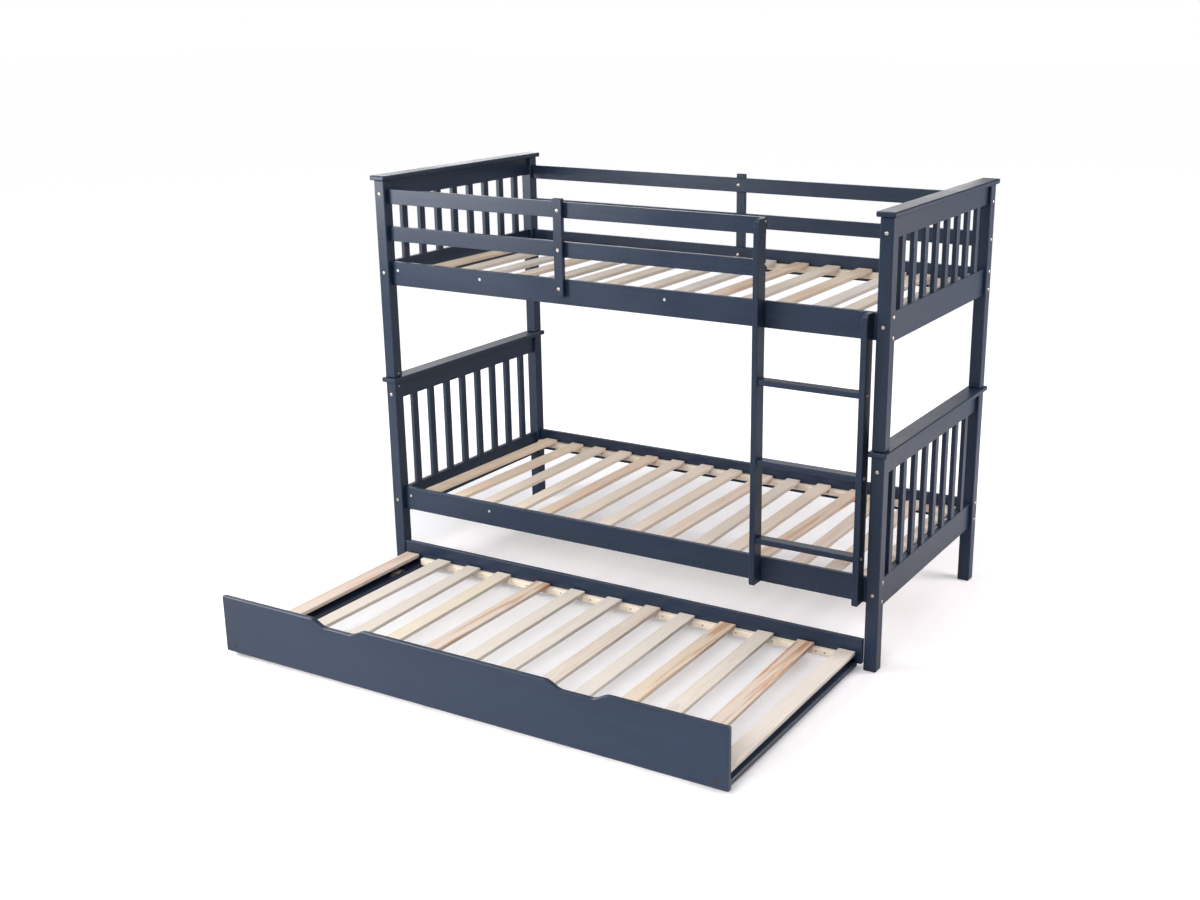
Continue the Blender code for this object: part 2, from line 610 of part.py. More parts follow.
def build_panel_caps(trundle, plastic, drilling, panel):
    """Black caps pressed into the panel, over the bolts that hold it to the side battens."""
    z = (CASTER_BOARD_TOP + TRUNDLE_DECK_HEIGHT) / 2
    stem = CAP_PLUG_RADIUS - 2 * CAP_PLUG_PROUD
    profile = [(-CAP_PLUG_DEPTH, 0), (-CAP_PLUG_DEPTH, stem), (FIT, stem), (FIT, CAP_PLUG_RADIUS),
               (CAP_PLUG_PROUD / 2, CAP_PLUG_RADIUS), (CAP_PLUG_PROUD, stem), (CAP_PLUG_PROUD, 0)]
    for name, x in (("left", -BATTEN_X), ("right", BATTEN_X)):
        mesh_data = bmesh.new()
        add_turned(mesh_data, profile, (0, 0, 0), (0, -1, 0), TURN_SIDES)
        smooth(add_object("trundle_panel_cap_" + name, mesh_data, trundle, plastic, (x, 0, z)))
        drilling.drill([panel], (x, -CUT_OVERRUN, z), (0, 1, 0), CAP_PLUG_DEPTH + 2 * CUT_OVERRUN,
                       stem + BOLT_PLAY)


def drill_frame(drilling, ends, rails):
    """Bolt holes through the posts: fore and aft into the end panels, and lengthwise into the side rails."""
    length = POST + BOLT_GRIP
    rail_middles = {"lower": LOWER_SIDE_RAIL_TOP - SIDE_RAIL_HEIGHT / 2,
                    "upper": UPPER_SIDE_RAIL_TOP - SIDE_RAIL_HEIGHT / 2}
    rail_lines = {"front": FRONT_RAIL_Y + RAIL_THICKNESS / 2, "rear": REAR_RAIL_Y - RAIL_THICKNESS / 2}
    for (tier, end), made in ends.items():
        side = {"head": -1, "foot": 1}[end]
        for place, sign in (("front", -1), ("rear", 1)):
            post = made["posts"][place]
            for z in made["bolt_heights"]:
                drilling.bolt([post, made["panel"]], (made["middle_x"], sign * BED_WIDTH / 2, z),
                              (0, sign, 0), length)
            for offset in (-SIDE_BOLT_SPREAD, SIDE_BOLT_SPREAD):
                seat = (side * BED_LENGTH / 2, rail_lines[place], rail_middles[tier] + offset)
                drilling.bolt([post, rails[tier][place]], seat, (side, 0, 0), length)


def drill_supports(drilling, guards, rails):
    """Bolt holes that tie the supports to the guard boards and side rails, drilled from the front."""
    length = RAIL_THICKNESS + FIT + SUPPORT_THICKNESS
    for place, x, face in (("front", SUPPORT_FRONT_X, FRONT_RAIL_Y - FIT - SUPPORT_THICKNESS),
                           ("rear", SUPPORT_REAR_X, REAR_RAIL_Y - RAIL_THICKNESS)):
        held = ((guards["top_" + place], TOP_GUARD_TOP - GUARD_HEIGHT / 2),
                (guards["lower_" + place], LOWER_GUARD_TOP - GUARD_HEIGHT / 2),
                (rails["upper"][place], UPPER_SIDE_RAIL_TOP - RAIL_BOLT_DROP))
        for piece, z in held:
            drilling.bolt([piece, guards["support_" + place]], (x, face, z), (0, -1, 0), length)


def drill_ladder(drilling, ladder, guards, rails):
    """Bolt holes through the stiles into the treads, and through the front boards into the stiles."""
    rung_y = STILE_FRONT_Y + RUNG_SETBACK + RUNG_DEPTH / 2
    for i, rung in enumerate(ladder["rungs"]):
        z = FIRST_RUNG_HEIGHT + i * RUNG_PITCH
        length = STILE_WIDTH + BOLT_GRIP
        drilling.bolt([ladder["left"], rung], (LEFT_STILE_X, rung_y, z), (-1, 0, 0), length)
        drilling.bolt([ladder["right"], rung], (RIGHT_STILE_X + STILE_WIDTH, rung_y, z), (1, 0, 0), length)
    face = FRONT_RAIL_Y + RAIL_THICKNESS
    length = RAIL_THICKNESS + FIT + STILE_DEPTH / 2
    held = [("left", guards["top_front"], TOP_GUARD_TOP - GUARD_HEIGHT / 2),
            ("left", guards["lower_front"], LOWER_GUARD_TOP - GUARD_HEIGHT / 2)]
    for side in ("left", "right"):
        held.append((side, rails["lower"]["front"], LOWER_SIDE_RAIL_TOP - LADDER_BOLT_DROP))
        held.append((side, rails["upper"]["front"], UPPER_SIDE_RAIL_TOP - LADDER_BOLT_DROP))
    middles = {"left": LEFT_STILE_X + STILE_WIDTH / 2, "right": RIGHT_STILE_X + STILE_WIDTH / 2}
    for side, piece, z in held:
        drilling.bolt([piece, ladder[side]], (middles[side], face, z), (0, 1, 0), length)


def pin_tiers(drilling, ends, bed, metal):
    """Steel pins that stack the upper bed on the lower one, through the lower cap boards."""
    foot = LOWER_CAP_Z + CAP_THICKNESS / 2 - PIN_LENGTH / 2
    for end in ("head", "foot"):
        lower = ends["lower", end]
        upper = ends["upper", end]
        for place, sign in (("front", -1), ("rear", 1)):
            x = lower["middle_x"]
            y = sign * POST_Y
            mesh_data = bmesh.new()
            add_turned(mesh_data, [(0, 0), (0, PIN_RADIUS), (PIN_LENGTH, PIN_RADIUS), (PIN_LENGTH, 0)],
                       (0, 0, 0), (0, 0, 1), TURN_SIDES)
            smooth(add_object("stacking_pin_%s_%s" % (end, place), mesh_data, bed, metal, (x, y, foot)))
            drilling.drill([lower["posts"][place], lower["cap"], upper["posts"][place]],
                           (x, y, foot - FIT), (0, 0, 1), PIN_LENGTH + 2 * FIT, PIN_RADIUS + PIN_PLAY)


def main():
    """Builds the bed and its trundle."""
    for old in list(bpy.data.objects):
        bpy.data.objects.remove(old, do_unlink=True)
    navy = paint("navy_paint", (0.052, 0.073, 0.105), 0.42)
    pine = paint("bare_pine", (0.72, 0.58, 0.42), 0.62)
    zinc = paint("zinc_steel", (0.62, 0.58, 0.50), 0.35, 1)
    black = paint("black_plastic", (0.02, 0.02, 0.025), 0.45)

    bed = empty("bed", (0, BED_CENTRE_Y, 0))
    trundle = empty("trundle", (0, BED_CENTRE_Y + PANEL_FRONT_Y, 0))
    drilling = Drilling(bed)
    trundle_drilling = Drilling(trundle)

    ends = {}
    for tier, base, height, rise in (("lower", 0, LOWER_POST_HEIGHT, LOWER_END_RAIL_RISE),
                                     ("upper", UPPER_BASE, UPPER_POST_HEIGHT, UPPER_END_RAIL_RISE)):
        for end, side in (("head", -1), ("foot", 1)):
            ends[tier, end] = build_end(tier, base, height, rise, end, side, bed, navy)
    rails = {"lower": build_sides("lower", LOWER_SIDE_RAIL_RISE, bed, navy, pine),
             "upper": build_sides("upper", UPPER_BASE + UPPER_SIDE_RAIL_RISE, bed, navy, pine)}
    guards = build_guards(bed, navy)
    ladder = build_ladder(bed, navy)
    drill_frame(drilling, ends, rails)
    drill_supports(drilling, guards, rails)
    drill_ladder(drilling, ladder, guards, rails)
    pin_tiers(drilling, ends, bed, zinc)
    drilling.cut()

    panel = build_trundle_frame(trundle, navy, pine)
    build_panel_caps(trundle, black, trundle_drilling, panel)
    build_casters(trundle, black, zinc)
    trundle_drilling.cut()


main()
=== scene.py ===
"""Looks for a painted pine bunk bed with a trundle bed that rolls out from under it.

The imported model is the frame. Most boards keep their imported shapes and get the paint. The end
panels, the front guard boards, the slat decks, the plastic caps and the wheels are made again here
with finer edges, and the bolts, threaded inserts and screws are added. Everything is in metres, in
the frame's own axes.
"""
import math

import bmesh
import bpy
from mathutils import Matrix, Vector


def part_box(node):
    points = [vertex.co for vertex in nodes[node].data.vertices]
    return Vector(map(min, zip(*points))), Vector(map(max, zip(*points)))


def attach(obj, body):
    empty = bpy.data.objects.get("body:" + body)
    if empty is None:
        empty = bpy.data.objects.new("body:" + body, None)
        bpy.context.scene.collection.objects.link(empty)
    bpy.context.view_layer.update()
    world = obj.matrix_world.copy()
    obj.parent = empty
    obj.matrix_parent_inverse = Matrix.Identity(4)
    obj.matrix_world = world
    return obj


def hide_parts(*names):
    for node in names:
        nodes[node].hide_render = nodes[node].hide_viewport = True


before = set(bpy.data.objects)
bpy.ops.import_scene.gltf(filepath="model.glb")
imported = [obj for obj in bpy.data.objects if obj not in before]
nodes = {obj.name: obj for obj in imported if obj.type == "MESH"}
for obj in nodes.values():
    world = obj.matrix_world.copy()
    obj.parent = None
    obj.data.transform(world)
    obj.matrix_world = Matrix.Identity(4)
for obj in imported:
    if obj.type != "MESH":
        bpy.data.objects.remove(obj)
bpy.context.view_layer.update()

TIERS = ("lower", "upper")
ENDS = ("head", "foot")
ROWS = ("front", "rear")
SIDES = ("left", "right")

# End panels
SPINDLE_COUNT = 8
SPINDLE_WIDTH = 0.030
SPINDLE_THICKNESS = 0.016
SPINDLE_EASE = 0.002
END_RAIL_THICKNESS = 0.019
END_TOP_RAIL = 0.070
END_BOTTOM_RAIL = 0.098
END_RAIL_EASE = 0.0022
TENON = 0.004

# Front guard boards, which end a little behind the ladder's left stile
GUARD_SETBACK = 0.0085
GUARD_EASE = 0.0018

# Slats
BED_SLAT_WIDTH = 0.056
TRUNDLE_SLAT_WIDTH = 0.060
SLAT_THICKNESS = 0.013
SLAT_EASE = 0.0014
SLAT_END_PLAY = 0.0014
END_SLAT_INSET = 0.0652
UNEVEN_PLACE = 0.006
UNEVEN_SALT = 5
REST_ON_RAIL = 0.008
UPPER_DROP = 0.005

# Cleats, with their thickness and height
BED_CLEAT = (0.020, 0.025)
TRUNDLE_CLEAT = (0.018, 0.025)
CLEAT_EASE = 0.001
CLEAT_END_PLAY = 0.0002
CLEAT_BELOW_SLATS = 0.0002
CLEAT_SEEDS = (0.55, 0.2)

# How the slats lie, from the head end: how far each has slid along the bed in millimetres, and its
# slight turn in thousandths of a radian
SLIDES = {"lower": (-7, 0, 0, 6, 2, 4, 10, 11, 15, 21, 23, 21, 19, 20, 20),
          "upper": (3, 5, 6, -1, 14, 0, -8, 16, 22, 28, 30, 32, 37, 15, 6),
          "trundle": (8, 3, 6, -11, 3, 8, 7, 19, 8, 9, 7, 8, -9)}
TURNS = {"lower": (-21, -22, 9, 27, 6, 17, 13, 8, -8, 27, 18, -22, 16, 6, 4),
         "upper": (-6, 8, 0, 9, 2, 7, 8, 5, 8, 4, 4, 7, 6, 5, 0),
         "trundle": (17, 0, 37, 29, 4, 14, 3, 18, 23, 12, 23, 29, 4)}

# Tones of planed pine: white, pale, cream, buff, yellowish, light, very light, amber, orange, dull,
# muted, soft pink and pinkish. Some are lighter or darker than the wood, to paint light and shade
PINE_TONES = {"w": (0.81, 0.745, 0.675), "p": (0.80, 0.73, 0.65), "c": (0.78, 0.69, 0.60),
              "b": (0.76, 0.65, 0.55), "y": (0.80, 0.72, 0.59), "l": (0.86, 0.75, 0.64),
              "v": (0.86, 0.79, 0.73), "a": (0.90, 0.73, 0.575), "o": (0.76, 0.62, 0.505),
              "d": (0.71, 0.63, 0.56), "m": (0.735, 0.672, 0.605), "s": (0.72, 0.61, 0.54),
              "k": (0.78, 0.665, 0.585)}
# The cleats' tone, made lighter to paint light on their faces in the shade under the slats
CLEAT_TONE_AND_PAINTED_LIGHT = (0.93, 0.80, 0.665)

# The tone of each slat from the head end, and how much brown heartwood shows in some of them.
# The tones are partly each slat's own and partly painted light and shade: some slats are lighter
# where their deck lies in shade, and the trundle's first slats darker where the light is strongest
SLAT_TONES_AND_PAINTED_LIGHT = {"lower": "aallobcbkdbddbc", "upper": "alvlclllvalavlc", "trundle": "smmywpwpwyppw"}
HEARTWOOD = {"lower": {0: 0.2, 4: 0.3, 8: 0.3, 11: 0.85, 12: 0.3},
             "upper": {0: 0.2, 3: 0.2, 9: 0.3, 11: 0.25},
             "trundle": {0: 0.35, 4: 0.75, 7: 0.2, 9: 0.7, 11: 0.9}}

# Bolt heads: heights as shares of the height, and radii as shares of the radius
HEAD_RADIUS = 0.0062
HEAD_HEIGHT = 0.0022
HEAD_PROFILE = ((0, 1), (0.45, 1), (0.85, 0.86), (1, 0.62))
SOCKET_RADIUS = 0.42
SOCKET_FLOOR = 0.2

# Other heads: heights in metres, and radii as shares of the radius
INSERT_RADIUS = 0.0052
INSERT_PROFILE = ((0, 0), (0, 1), (0.0006, 1), (0.0009, 0.9), (0.0009, 0.62), (0.0002, 0.55),
                  (0.0002, 0))
SMALL_HEAD_RADIUS = 0.0034
SMALL_HEAD_PROFILE = ((0, 0), (0, 1), (0.0005, 0.97), (0.0011, 0.6), (0.0012, 0))
SCREW_RADIUS = 0.0027
SCREW_PROFILE = ((0, 0), (0, 1), (0.0002, 0.96), (0.0002, 0))

# Each head is turned by chance, up to a sixth of a circle
HEAD_TURN = 1.05
HEAD_SEED = 4

# Where the fastenings sit
PANEL_BOLT_UP = 0.057
PANEL_BOLT_DOWN = 0.049
RAIL_BOLT_OFFSET = 0.033
SUPPORT_BOLT_DOWN = 0.0315
STILE_BOLT_DOWN = 0.016
INSERT_DOWN = 0.0315
INSERT_X = {"lower": (-0.938, -0.564), "upper": (-0.938, -0.564, 0.2)}
CLEAT_SCREW_UP = 0.0125
TRUNDLE_SCREW_X = (-0.834, -0.802, -0.69, -0.535, -0.375, -0.2225, -0.093, 0.0785, 0.2103, 0.3717,
                   0.5017, 0.64, 0.8026, 0.8343)
BED_SCREW_X = (-0.905, -0.633, -0.1055, 0.421, 0.905)
POST_SCREW_BACK = 0.022
POST_SCREW_Z = (0.773, 0.723)
STILE_SCREW_BACK = 0.0062
STILE_SCREW_Z = (1.4551, 1.3178)

# Panel caps: the depth behind the front, and the radius as a share of the rim's
CAP_PROFILE = ((0.0058, 0), (0.0058, 0.78), (0.0013, 0.80), (0.0011, 1), (0.0006, 0.99),
               (0.0002, 0.93), (0.0, 0.86), (0.0003, 0.78), (0.00055, 0.70), (0.0003, 0.45),
               (0.0002, 0))

# Wheels: the depth in from the side, with the radius at the hub, and the depth below the tread
# further out
WHEEL_HUB = ((0, 0.0034), (0, 0.0062), (0.0028, 0.0068))
WHEEL_TREAD = ((0.0028, 0.0048), (0, 0.0042), (0, 0.0018), (0.0006, 0.0006), (0.0018, 0))

# How many sides the round shapes have, and the angle in degrees from which a corner stays sharp
WHEEL_FACETS = 48
CAP_FACETS = 40
HEAD_FACETS = 24
INSERT_FACETS = 20
SMALL_HEAD_FACETS = 16
SCREW_FACETS = 12
CORNER_ANGLE = 35

# Camera: its place, its azimuth, elevation and roll in degrees, and its lens and sensor in
# millimetres
CAMERA_PLACE = (2.63912, -4.2050, 2.12426)
CAMERA_ANGLES = (29.840, 17.239, -0.168)
CAMERA_LENS = 44.3816
CAMERA_SENSOR = 36
CAMERA_SHIFT = (-0.059375, 0.00645)
CAMERA_REACH = 200

# Softboxes: place, aim, size, power, spread in degrees and tint
NEUTRAL = (1, 1, 1)
SOFTBOXES = {
    "key": ((-2.5, -2.1, 2.0), (-0.5, 0.0, 0.8), (1.7, 1.9), 117, 180, NEUTRAL),
    "front": ((1.2, -5.0, 3.0), (0.0, 0.0, 0.6), (3.0, 1.3), 150, 180, NEUTRAL),
    "low_front": ((0.25, -1.5, 0.30), (0.2, -0.96, 0.06), (2.0, 0.12), 1.3, 70, NEUTRAL),
    "right": ((2.8, 1.25, 1.45), (1.0, 0.45, 0.85), (1.3, 1.3), 56, 180, (1.0, 0.93, 0.93)),
    "top_front": ((0.3, -1.0, 4.2), (0.0, 0.0, 0.6), (2.8, 2.0), 42, 180, NEUTRAL),
    "top_rear": ((0.0, 2.4, 4.2), (0.0, 0.3, 0.6), (3.0, 2.0), 29, 180, NEUTRAL),
    "rear_strip": ((-1.9, 2.4, 1.85), (-1.0, 0.4, 1.5), (4.5, 0.34), 13.5, 180, NEUTRAL)}

# How bright the backdrop is in shiny surfaces: a product of ramps over the ray's direction, each
# with where it starts and ends and what it goes from and to
BACKDROP = (("Y", (-0.2, 0.7, 0.04, 0.95)), ("X", (0.1, -0.35, 0.22, 0.72)),
            ("X", (-0.36, -0.66, 1.0, 2.4)), ("Z", (0.20, 0.28, 1.0, 0.12)))
ROOM_STRENGTH = 0.012

# Floor: half its width, and how far it lies below the bed's feet
FLOOR_HALF = 45
FLOOR_DROP = 0.0004


# Finishes

class Shading:
    """A tree of shading nodes, with short calls that add nodes and join them."""

    def __init__(self, tree):
        self.nodes = tree.nodes
        self.links = tree.links

    def set(self, node, socket, value):
        """Sets a socket to a number or colour, or joins another node's output to it."""
        if isinstance(value, bpy.types.NodeSocket):
            self.links.new(value, node.inputs[socket])
        else:
            node.inputs[socket].default_value = value

    def add(self, kind, inputs, output=0, **settings):
        """Adds a node, fills its sockets and gives its output."""
        node = self.nodes.new("ShaderNode" + kind)
        for name, value in settings.items():
            setattr(node, name, value)
        for socket, value in inputs.items():
            self.set(node, socket, value)
        return node.outputs[output]

    def coords(self):
        """The piece's own coordinates, which are the frame's."""
        return self.add("TexCoord", {}, "Object")

    def split(self, vector):
        """A vector's parts, as X, Y and Z."""
        return self.add("SeparateXYZ", {0: vector}).node.outputs

    def stretch(self, vector, scale):
        """Coordinates scaled along each axis."""
        return self.add("Mapping", {"Vector": vector, "Scale": scale})

    def noise(self, vector, scale=1, detail=2, roughness=0.5, distortion=0):
        """A noise value from 0 to 1."""
        return self.add("TexNoise", {"Vector": vector, "Scale": scale, "Detail": detail,
                                     "Roughness": roughness, "Distortion": distortion}, "Fac")

    def ramp(self, value, low, high, to_low=0, to_high=1):
        """A value carried from one range to another, and held at its ends."""
        return self.add("MapRange", {"Value": value, "From Min": low, "From Max": high,
                                     "To Min": to_low, "To Max": to_high},
                        interpolation_type="SMOOTHSTEP")

    def math(self, operation, first, second=0.0):
        """One sum on two values."""
        return self.add("Math", {0: first, 1: second}, operation=operation)

    def mix(self, factor, first, second, blend="MIX"):
        """Two colours mixed."""
        return self.add("Mix", {0: factor, 6: first, 7: second}, 2, data_type="RGBA",
                        blend_type=blend)

    def bump(self, height, distance, strength, normal=None):
        """A surface normal raised by a height value."""
        inputs = {"Height": height, "Distance": distance, "Strength": strength}
        if normal is not None:
            inputs["Normal"] = normal
        return self.add("Bump", inputs)

    def eased(self, radius):
        """A surface normal that turns smoothly round the edges."""
        return self.add("Bevel", {"Radius": radius}, samples=4)

    def rays(self, *kinds):
        """A value of 1 for any of the named kinds of ray."""
        path = self.add("LightPath", {}).node.outputs
        total = path[kinds[0]]
        for kind in kinds[1:]:
            total = self.math("MAXIMUM", total, path[kind])
        return total


class Finish(Shading):
    """A material, with the calls of its nodes."""

    def __init__(self, name):
        self.material = bpy.data.materials.new(name)
        self.material.use_nodes = True
        super().__init__(self.material.node_tree)
        self.shader = self.nodes["Principled BSDF"]

    def coat(self, inputs):
        """Fills the shader's own sockets, and gives the material."""
        for socket, value in inputs.items():
            self.set(self.shader, socket, value)
        return self.material


def rgb(red, green, blue):
    """A colour with full alpha."""
    return (red, green, blue, 1)


def scaled(colour, factor):
    """A colour made lighter or darker."""
    return rgb(*(channel * factor for channel in colour[:3]))


def along(axis, lengthwise, across):
    """A scale that runs a pattern along one axis."""
    return tuple(lengthwise if name == axis else across for name in "xyz")


WHITE = rgb(1, 1, 1)
PAINT_DEEP = rgb(0.0105, 0.0232, 0.0500)
PAINT_LIGHT = rgb(0.0130, 0.0260, 0.0550)
PAINT_FIBRE = rgb(0.029, 0.044, 0.076)
# Lighter colour of the board edges: partly worn paint, partly a painted highlight on the rounded
# edges
PAINT_WORN_EDGE_AND_HIGHLIGHT = rgb(0.080, 0.103, 0.148)
PINE_LIFT = rgb(1.05, 1.07, 1.10)
PINE_RING = rgb(0.62, 0.47, 0.34)
PINE_STREAK = rgb(0.68, 0.54, 0.40)
PINE_FIBRE = rgb(0.58, 0.46, 0.34)
PINE_HEART = rgb(0.70, 0.47, 0.33)
PINE_FLAME = rgb(0.56, 0.25, 0.105)
PINE_KNOT = rgb(0.33, 0.17, 0.075)
# Painted shade inside the cleats' screw holes
HOLE_SHADE_DEEP = rgb(0.035, 0.024, 0.018)
HOLE_SHADE_SPECKS = rgb(0.085, 0.062, 0.048)
BRASSED = rgb(0.70, 0.62, 0.54)
ZINC_BRIGHT = rgb(0.66, 0.67, 0.69)
ZINC_DULL = rgb(0.60, 0.60, 0.58)
NEAR_BLACK = rgb(0.016, 0.017, 0.021)
ROOM_AIR = rgb(0.95, 0.97, 1.0)
FLOOR_MATT = rgb(0.52, 0.52, 0.535)
FLOOR_GLOW = rgb(0.98, 0.98, 1)
FLOOR_PAPER = rgb(0.90, 0.89, 0.91)

# How deep the relief of each surface is, and how far the shading rounds its edges
PAINT_RELIEF = 0.00022
PAINT_ROUNDING = 0.0016
PINE_RELIEF = 0.00018
PINE_ROUNDING = 0.001
STEEL_RELIEF = 0.00006
PLASTIC_RELIEF = 0.00005

# How far the pattern of each board is moved along the axes, for a seed of 1
PATTERN_SHIFTS = (37.0, 61.0, 19.0)

# The growth rings: how close they lie, how far their middle lies from the board's, and how far they
# sway along it
RINGS_PER_METRE = 165.0
RING_CENTRE_ASIDE = 0.045
RING_CENTRE_BELOW = 0.012
RING_SWAY_ASIDE = 0.045
RING_SWAY_BELOW = 0.05


def satin_paint(name, grain):
    """Blue-grey satin paint over pine, whose grain still shows faintly along the board."""
    finish = Finish(name)
    where = finish.coords()
    fibre = finish.noise(finish.stretch(where, along(grain, 2.2, 75)), 1, 5, 0.6)
    cloud = finish.noise(where, 3.1, 3, 0.55)
    peel = finish.noise(where, 420, 2, 0.5)
    tone = finish.mix(finish.ramp(cloud, 0.3, 0.7), PAINT_DEEP, PAINT_LIGHT)
    tone = finish.mix(finish.ramp(fibre, 0.42, 0.72, 0, 0.22), tone, PAINT_FIBRE)
    eased = finish.eased(PAINT_ROUNDING)
    flat = finish.add("NewGeometry", {}, "True Normal")
    turn = finish.add("VectorMath", {0: eased, 1: flat}, "Value", operation="DOT_PRODUCT")
    # Edges lighter where the shading rounds them: worn paint, and a painted highlight where they
    # catch the light
    tone = finish.mix(finish.ramp(turn, 0.99, 0.86, 0, 0.26), tone, PAINT_WORN_EDGE_AND_HIGHLIGHT)
    height = finish.math("ADD", finish.math("MULTIPLY", fibre, 0.8),
                         finish.math("MULTIPLY", peel, 0.35))
    return finish.coat({"Base Color": tone,
                        "Roughness": finish.ramp(cloud, 0.25, 0.75, 0.30, 0.38),
                        "Specular IOR Level": 0.45,
                        "Normal": finish.bump(height, PAINT_RELIEF, 0.8, eased)})


def growth_rings(finish, local, own, seed, grain):
    """The dark late wood of each ring, from 0 to 1, and the sway of the rings along the board."""
    sway = finish.noise(finish.stretch(own, along(grain, 1.3, 5.0)), 1, 2, 0.5)
    parts = finish.split(local)
    side = parts["X"] if grain == "y" else parts["Y"]
    offset = finish.ramp(seed, 0, 1, -RING_CENTRE_ASIDE, RING_CENTRE_ASIDE)
    swing = finish.math("MULTIPLY", finish.math("SUBTRACT", sway, 0.5), RING_SWAY_ASIDE)
    across = finish.math("ADD", finish.math("SUBTRACT", side, offset), swing)
    below = finish.math("ADD", finish.math("MULTIPLY", sway, RING_SWAY_BELOW), RING_CENTRE_BELOW)
    depth = finish.math("ADD", parts["Z"], below)
    reach = finish.math("SQRT", finish.math("ADD", finish.math("MULTIPLY", across, across),
                                            finish.math("MULTIPLY", depth, depth)))
    ring = finish.math("FRACT", finish.math("MULTIPLY", reach, RINGS_PER_METRE))
    return finish.ramp(ring, 0.35, 0.97), sway


def bare_pine(name, grain):
    """Planed pine: growth rings cut along the board, fine fibres, and each board's tone, which on
    some slats and on the cleats also paints light and shade.
    """
    finish = Finish(name)
    seed = finish.add("Attribute", {}, "Fac", attribute_name="board_seed")
    heart = finish.add("Attribute", {}, "Fac", attribute_name="board_heart")
    middle_of_board = finish.add("Attribute", {}, "Vector", attribute_name="board_middle")
    board_colour_with_painted_light = finish.add("Attribute", {}, "Color", attribute_name="board_tone")
    local = finish.add("VectorMath", {0: finish.coords(), 1: middle_of_board},
                       operation="SUBTRACT")
    shift = finish.add("CombineXYZ", {axis: finish.math("MULTIPLY", seed, factor)
                                      for axis, factor in enumerate(PATTERN_SHIFTS)})
    own = finish.add("VectorMath", {0: local, 1: shift}, operation="ADD")
    late, sway = growth_rings(finish, local, own, seed, grain)
    fibre = finish.noise(finish.stretch(own, along(grain, 7, 330)), 1, 3, 0.6)
    streak = finish.noise(finish.stretch(own, along(grain, 1.1, 34)), 1, 3, 0.6)
    flame = finish.noise(finish.stretch(own, along(grain, 2.1, 46)), 1, 3, 0.55, 0.4)
    blotch = finish.noise(own, 5.5, 2, 0.5)
    knots = finish.add("TexVoronoi", {"Vector": finish.stretch(own, along(grain, 2.4, 9.0)),
                                      "Scale": 1.0, "Randomness": 1.0}, "Distance")
    to_rear = finish.ramp(finish.split(local)["Y"], -0.45, 0.40, 0.45, 1.0)
    brown = finish.math("MULTIPLY", heart, to_rear)

    # The board's tone also paints light and shade on some slats and on the cleats
    tone = finish.mix(finish.ramp(blotch, 0.3, 0.75, 0, 0.6), board_colour_with_painted_light,
                      finish.mix(1.0, board_colour_with_painted_light, PINE_LIFT, "MULTIPLY"))
    rings = finish.math("MULTIPLY", late, finish.ramp(sway, 0.3, 0.7, 0.10, 0.28))
    flames = finish.math("MULTIPLY", brown, finish.ramp(flame, 0.48, 0.60))
    for amount, colour in ((rings, PINE_RING),
                           (finish.ramp(streak, 0.54, 0.75, 0, 0.22), PINE_STREAK),
                           (finish.math("MULTIPLY", brown, 0.42), PINE_HEART),
                           (flames, PINE_FLAME),
                           (finish.ramp(fibre, 0.35, 0.68, 0.12, 0), PINE_FIBRE),
                           (finish.ramp(knots, 0.085, 0.03, 0, 0.75), PINE_KNOT)):
        tone = finish.mix(amount, tone, colour)
    height = finish.math("ADD", finish.math("MULTIPLY", fibre, 0.6),
                         finish.math("MULTIPLY", late, 0.5))
    return finish.coat({"Base Color": tone,
                        "Roughness": finish.ramp(fibre, 0.3, 0.7, 0.52, 0.66),
                        "Specular IOR Level": 0.3,
                        "Normal": finish.bump(height, PINE_RELIEF, 0.8,
                                              finish.eased(PINE_ROUNDING))})


def plated_steel(name, tone, roughness):
    """Steel with a thin plating, brushed a little and dulled in patches."""
    finish = Finish(name)
    where = finish.coords()
    patch = finish.noise(where, 160, 3, 0.6)
    scratch = finish.noise(finish.stretch(where, (900, 900, 120)), 1, 2, 0.5)
    tone = finish.mix(finish.ramp(patch, 0.35, 0.7), scaled(tone, 0.72), tone)
    return finish.coat({"Base Color": tone,
                        "Metallic": 1.0,
                        "Roughness": finish.ramp(patch, 0.3, 0.7, roughness, roughness + 0.16),
                        "Normal": finish.bump(scratch, STEEL_RELIEF, 0.6)})


def moulded_plastic(name, tone):
    """Black moulded plastic with a fine grain."""
    finish = Finish(name)
    where = finish.coords()
    grain = finish.noise(where, 1400, 2, 0.5)
    cloud = finish.noise(where, 60, 2, 0.5)
    tone = finish.mix(finish.ramp(cloud, 0.3, 0.7, 0, 0.6), tone, scaled(tone, 1.7))
    return finish.coat({"Base Color": tone,
                        "Roughness": finish.ramp(grain, 0.3, 0.7, 0.38, 0.55),
                        "Normal": finish.bump(grain, PLASTIC_RELIEF, 0.7)})


def painted_hole_shade(name):
    """A flat disc painted with the shade inside a screw hole: near black, speckled like the screw's
    dull head deep in it.
    """
    finish = Finish(name)
    speck = finish.noise(finish.coords(), 900, 2, 0.5)
    return finish.coat({"Base Color": finish.mix(speck, HOLE_SHADE_DEEP, HOLE_SHADE_SPECKS), "Roughness": 0.7})


PAINT = {axis: satin_paint("satin_paint_along_" + axis, axis) for axis in "xyz"}
PINE = {axis: bare_pine("bare_pine_along_" + axis, axis) for axis in "xy"}
BOLT_PLATING = plated_steel("brassed_bolt", BRASSED, 0.30)
INSERT_PLATING = plated_steel("zinc_insert", ZINC_BRIGHT, 0.30)
HOUSING_STEEL = plated_steel("zinc_housing", ZINC_DULL, 0.34)
BLACK_PLASTIC = moulded_plastic("black_plastic", NEAR_BLACK)
# Flat discs painted with the shade inside the cleats' screw holes
SCREW_HOLE_SHADE = painted_hole_shade("screw_hole_painted_shade")


# Ways to make shapes

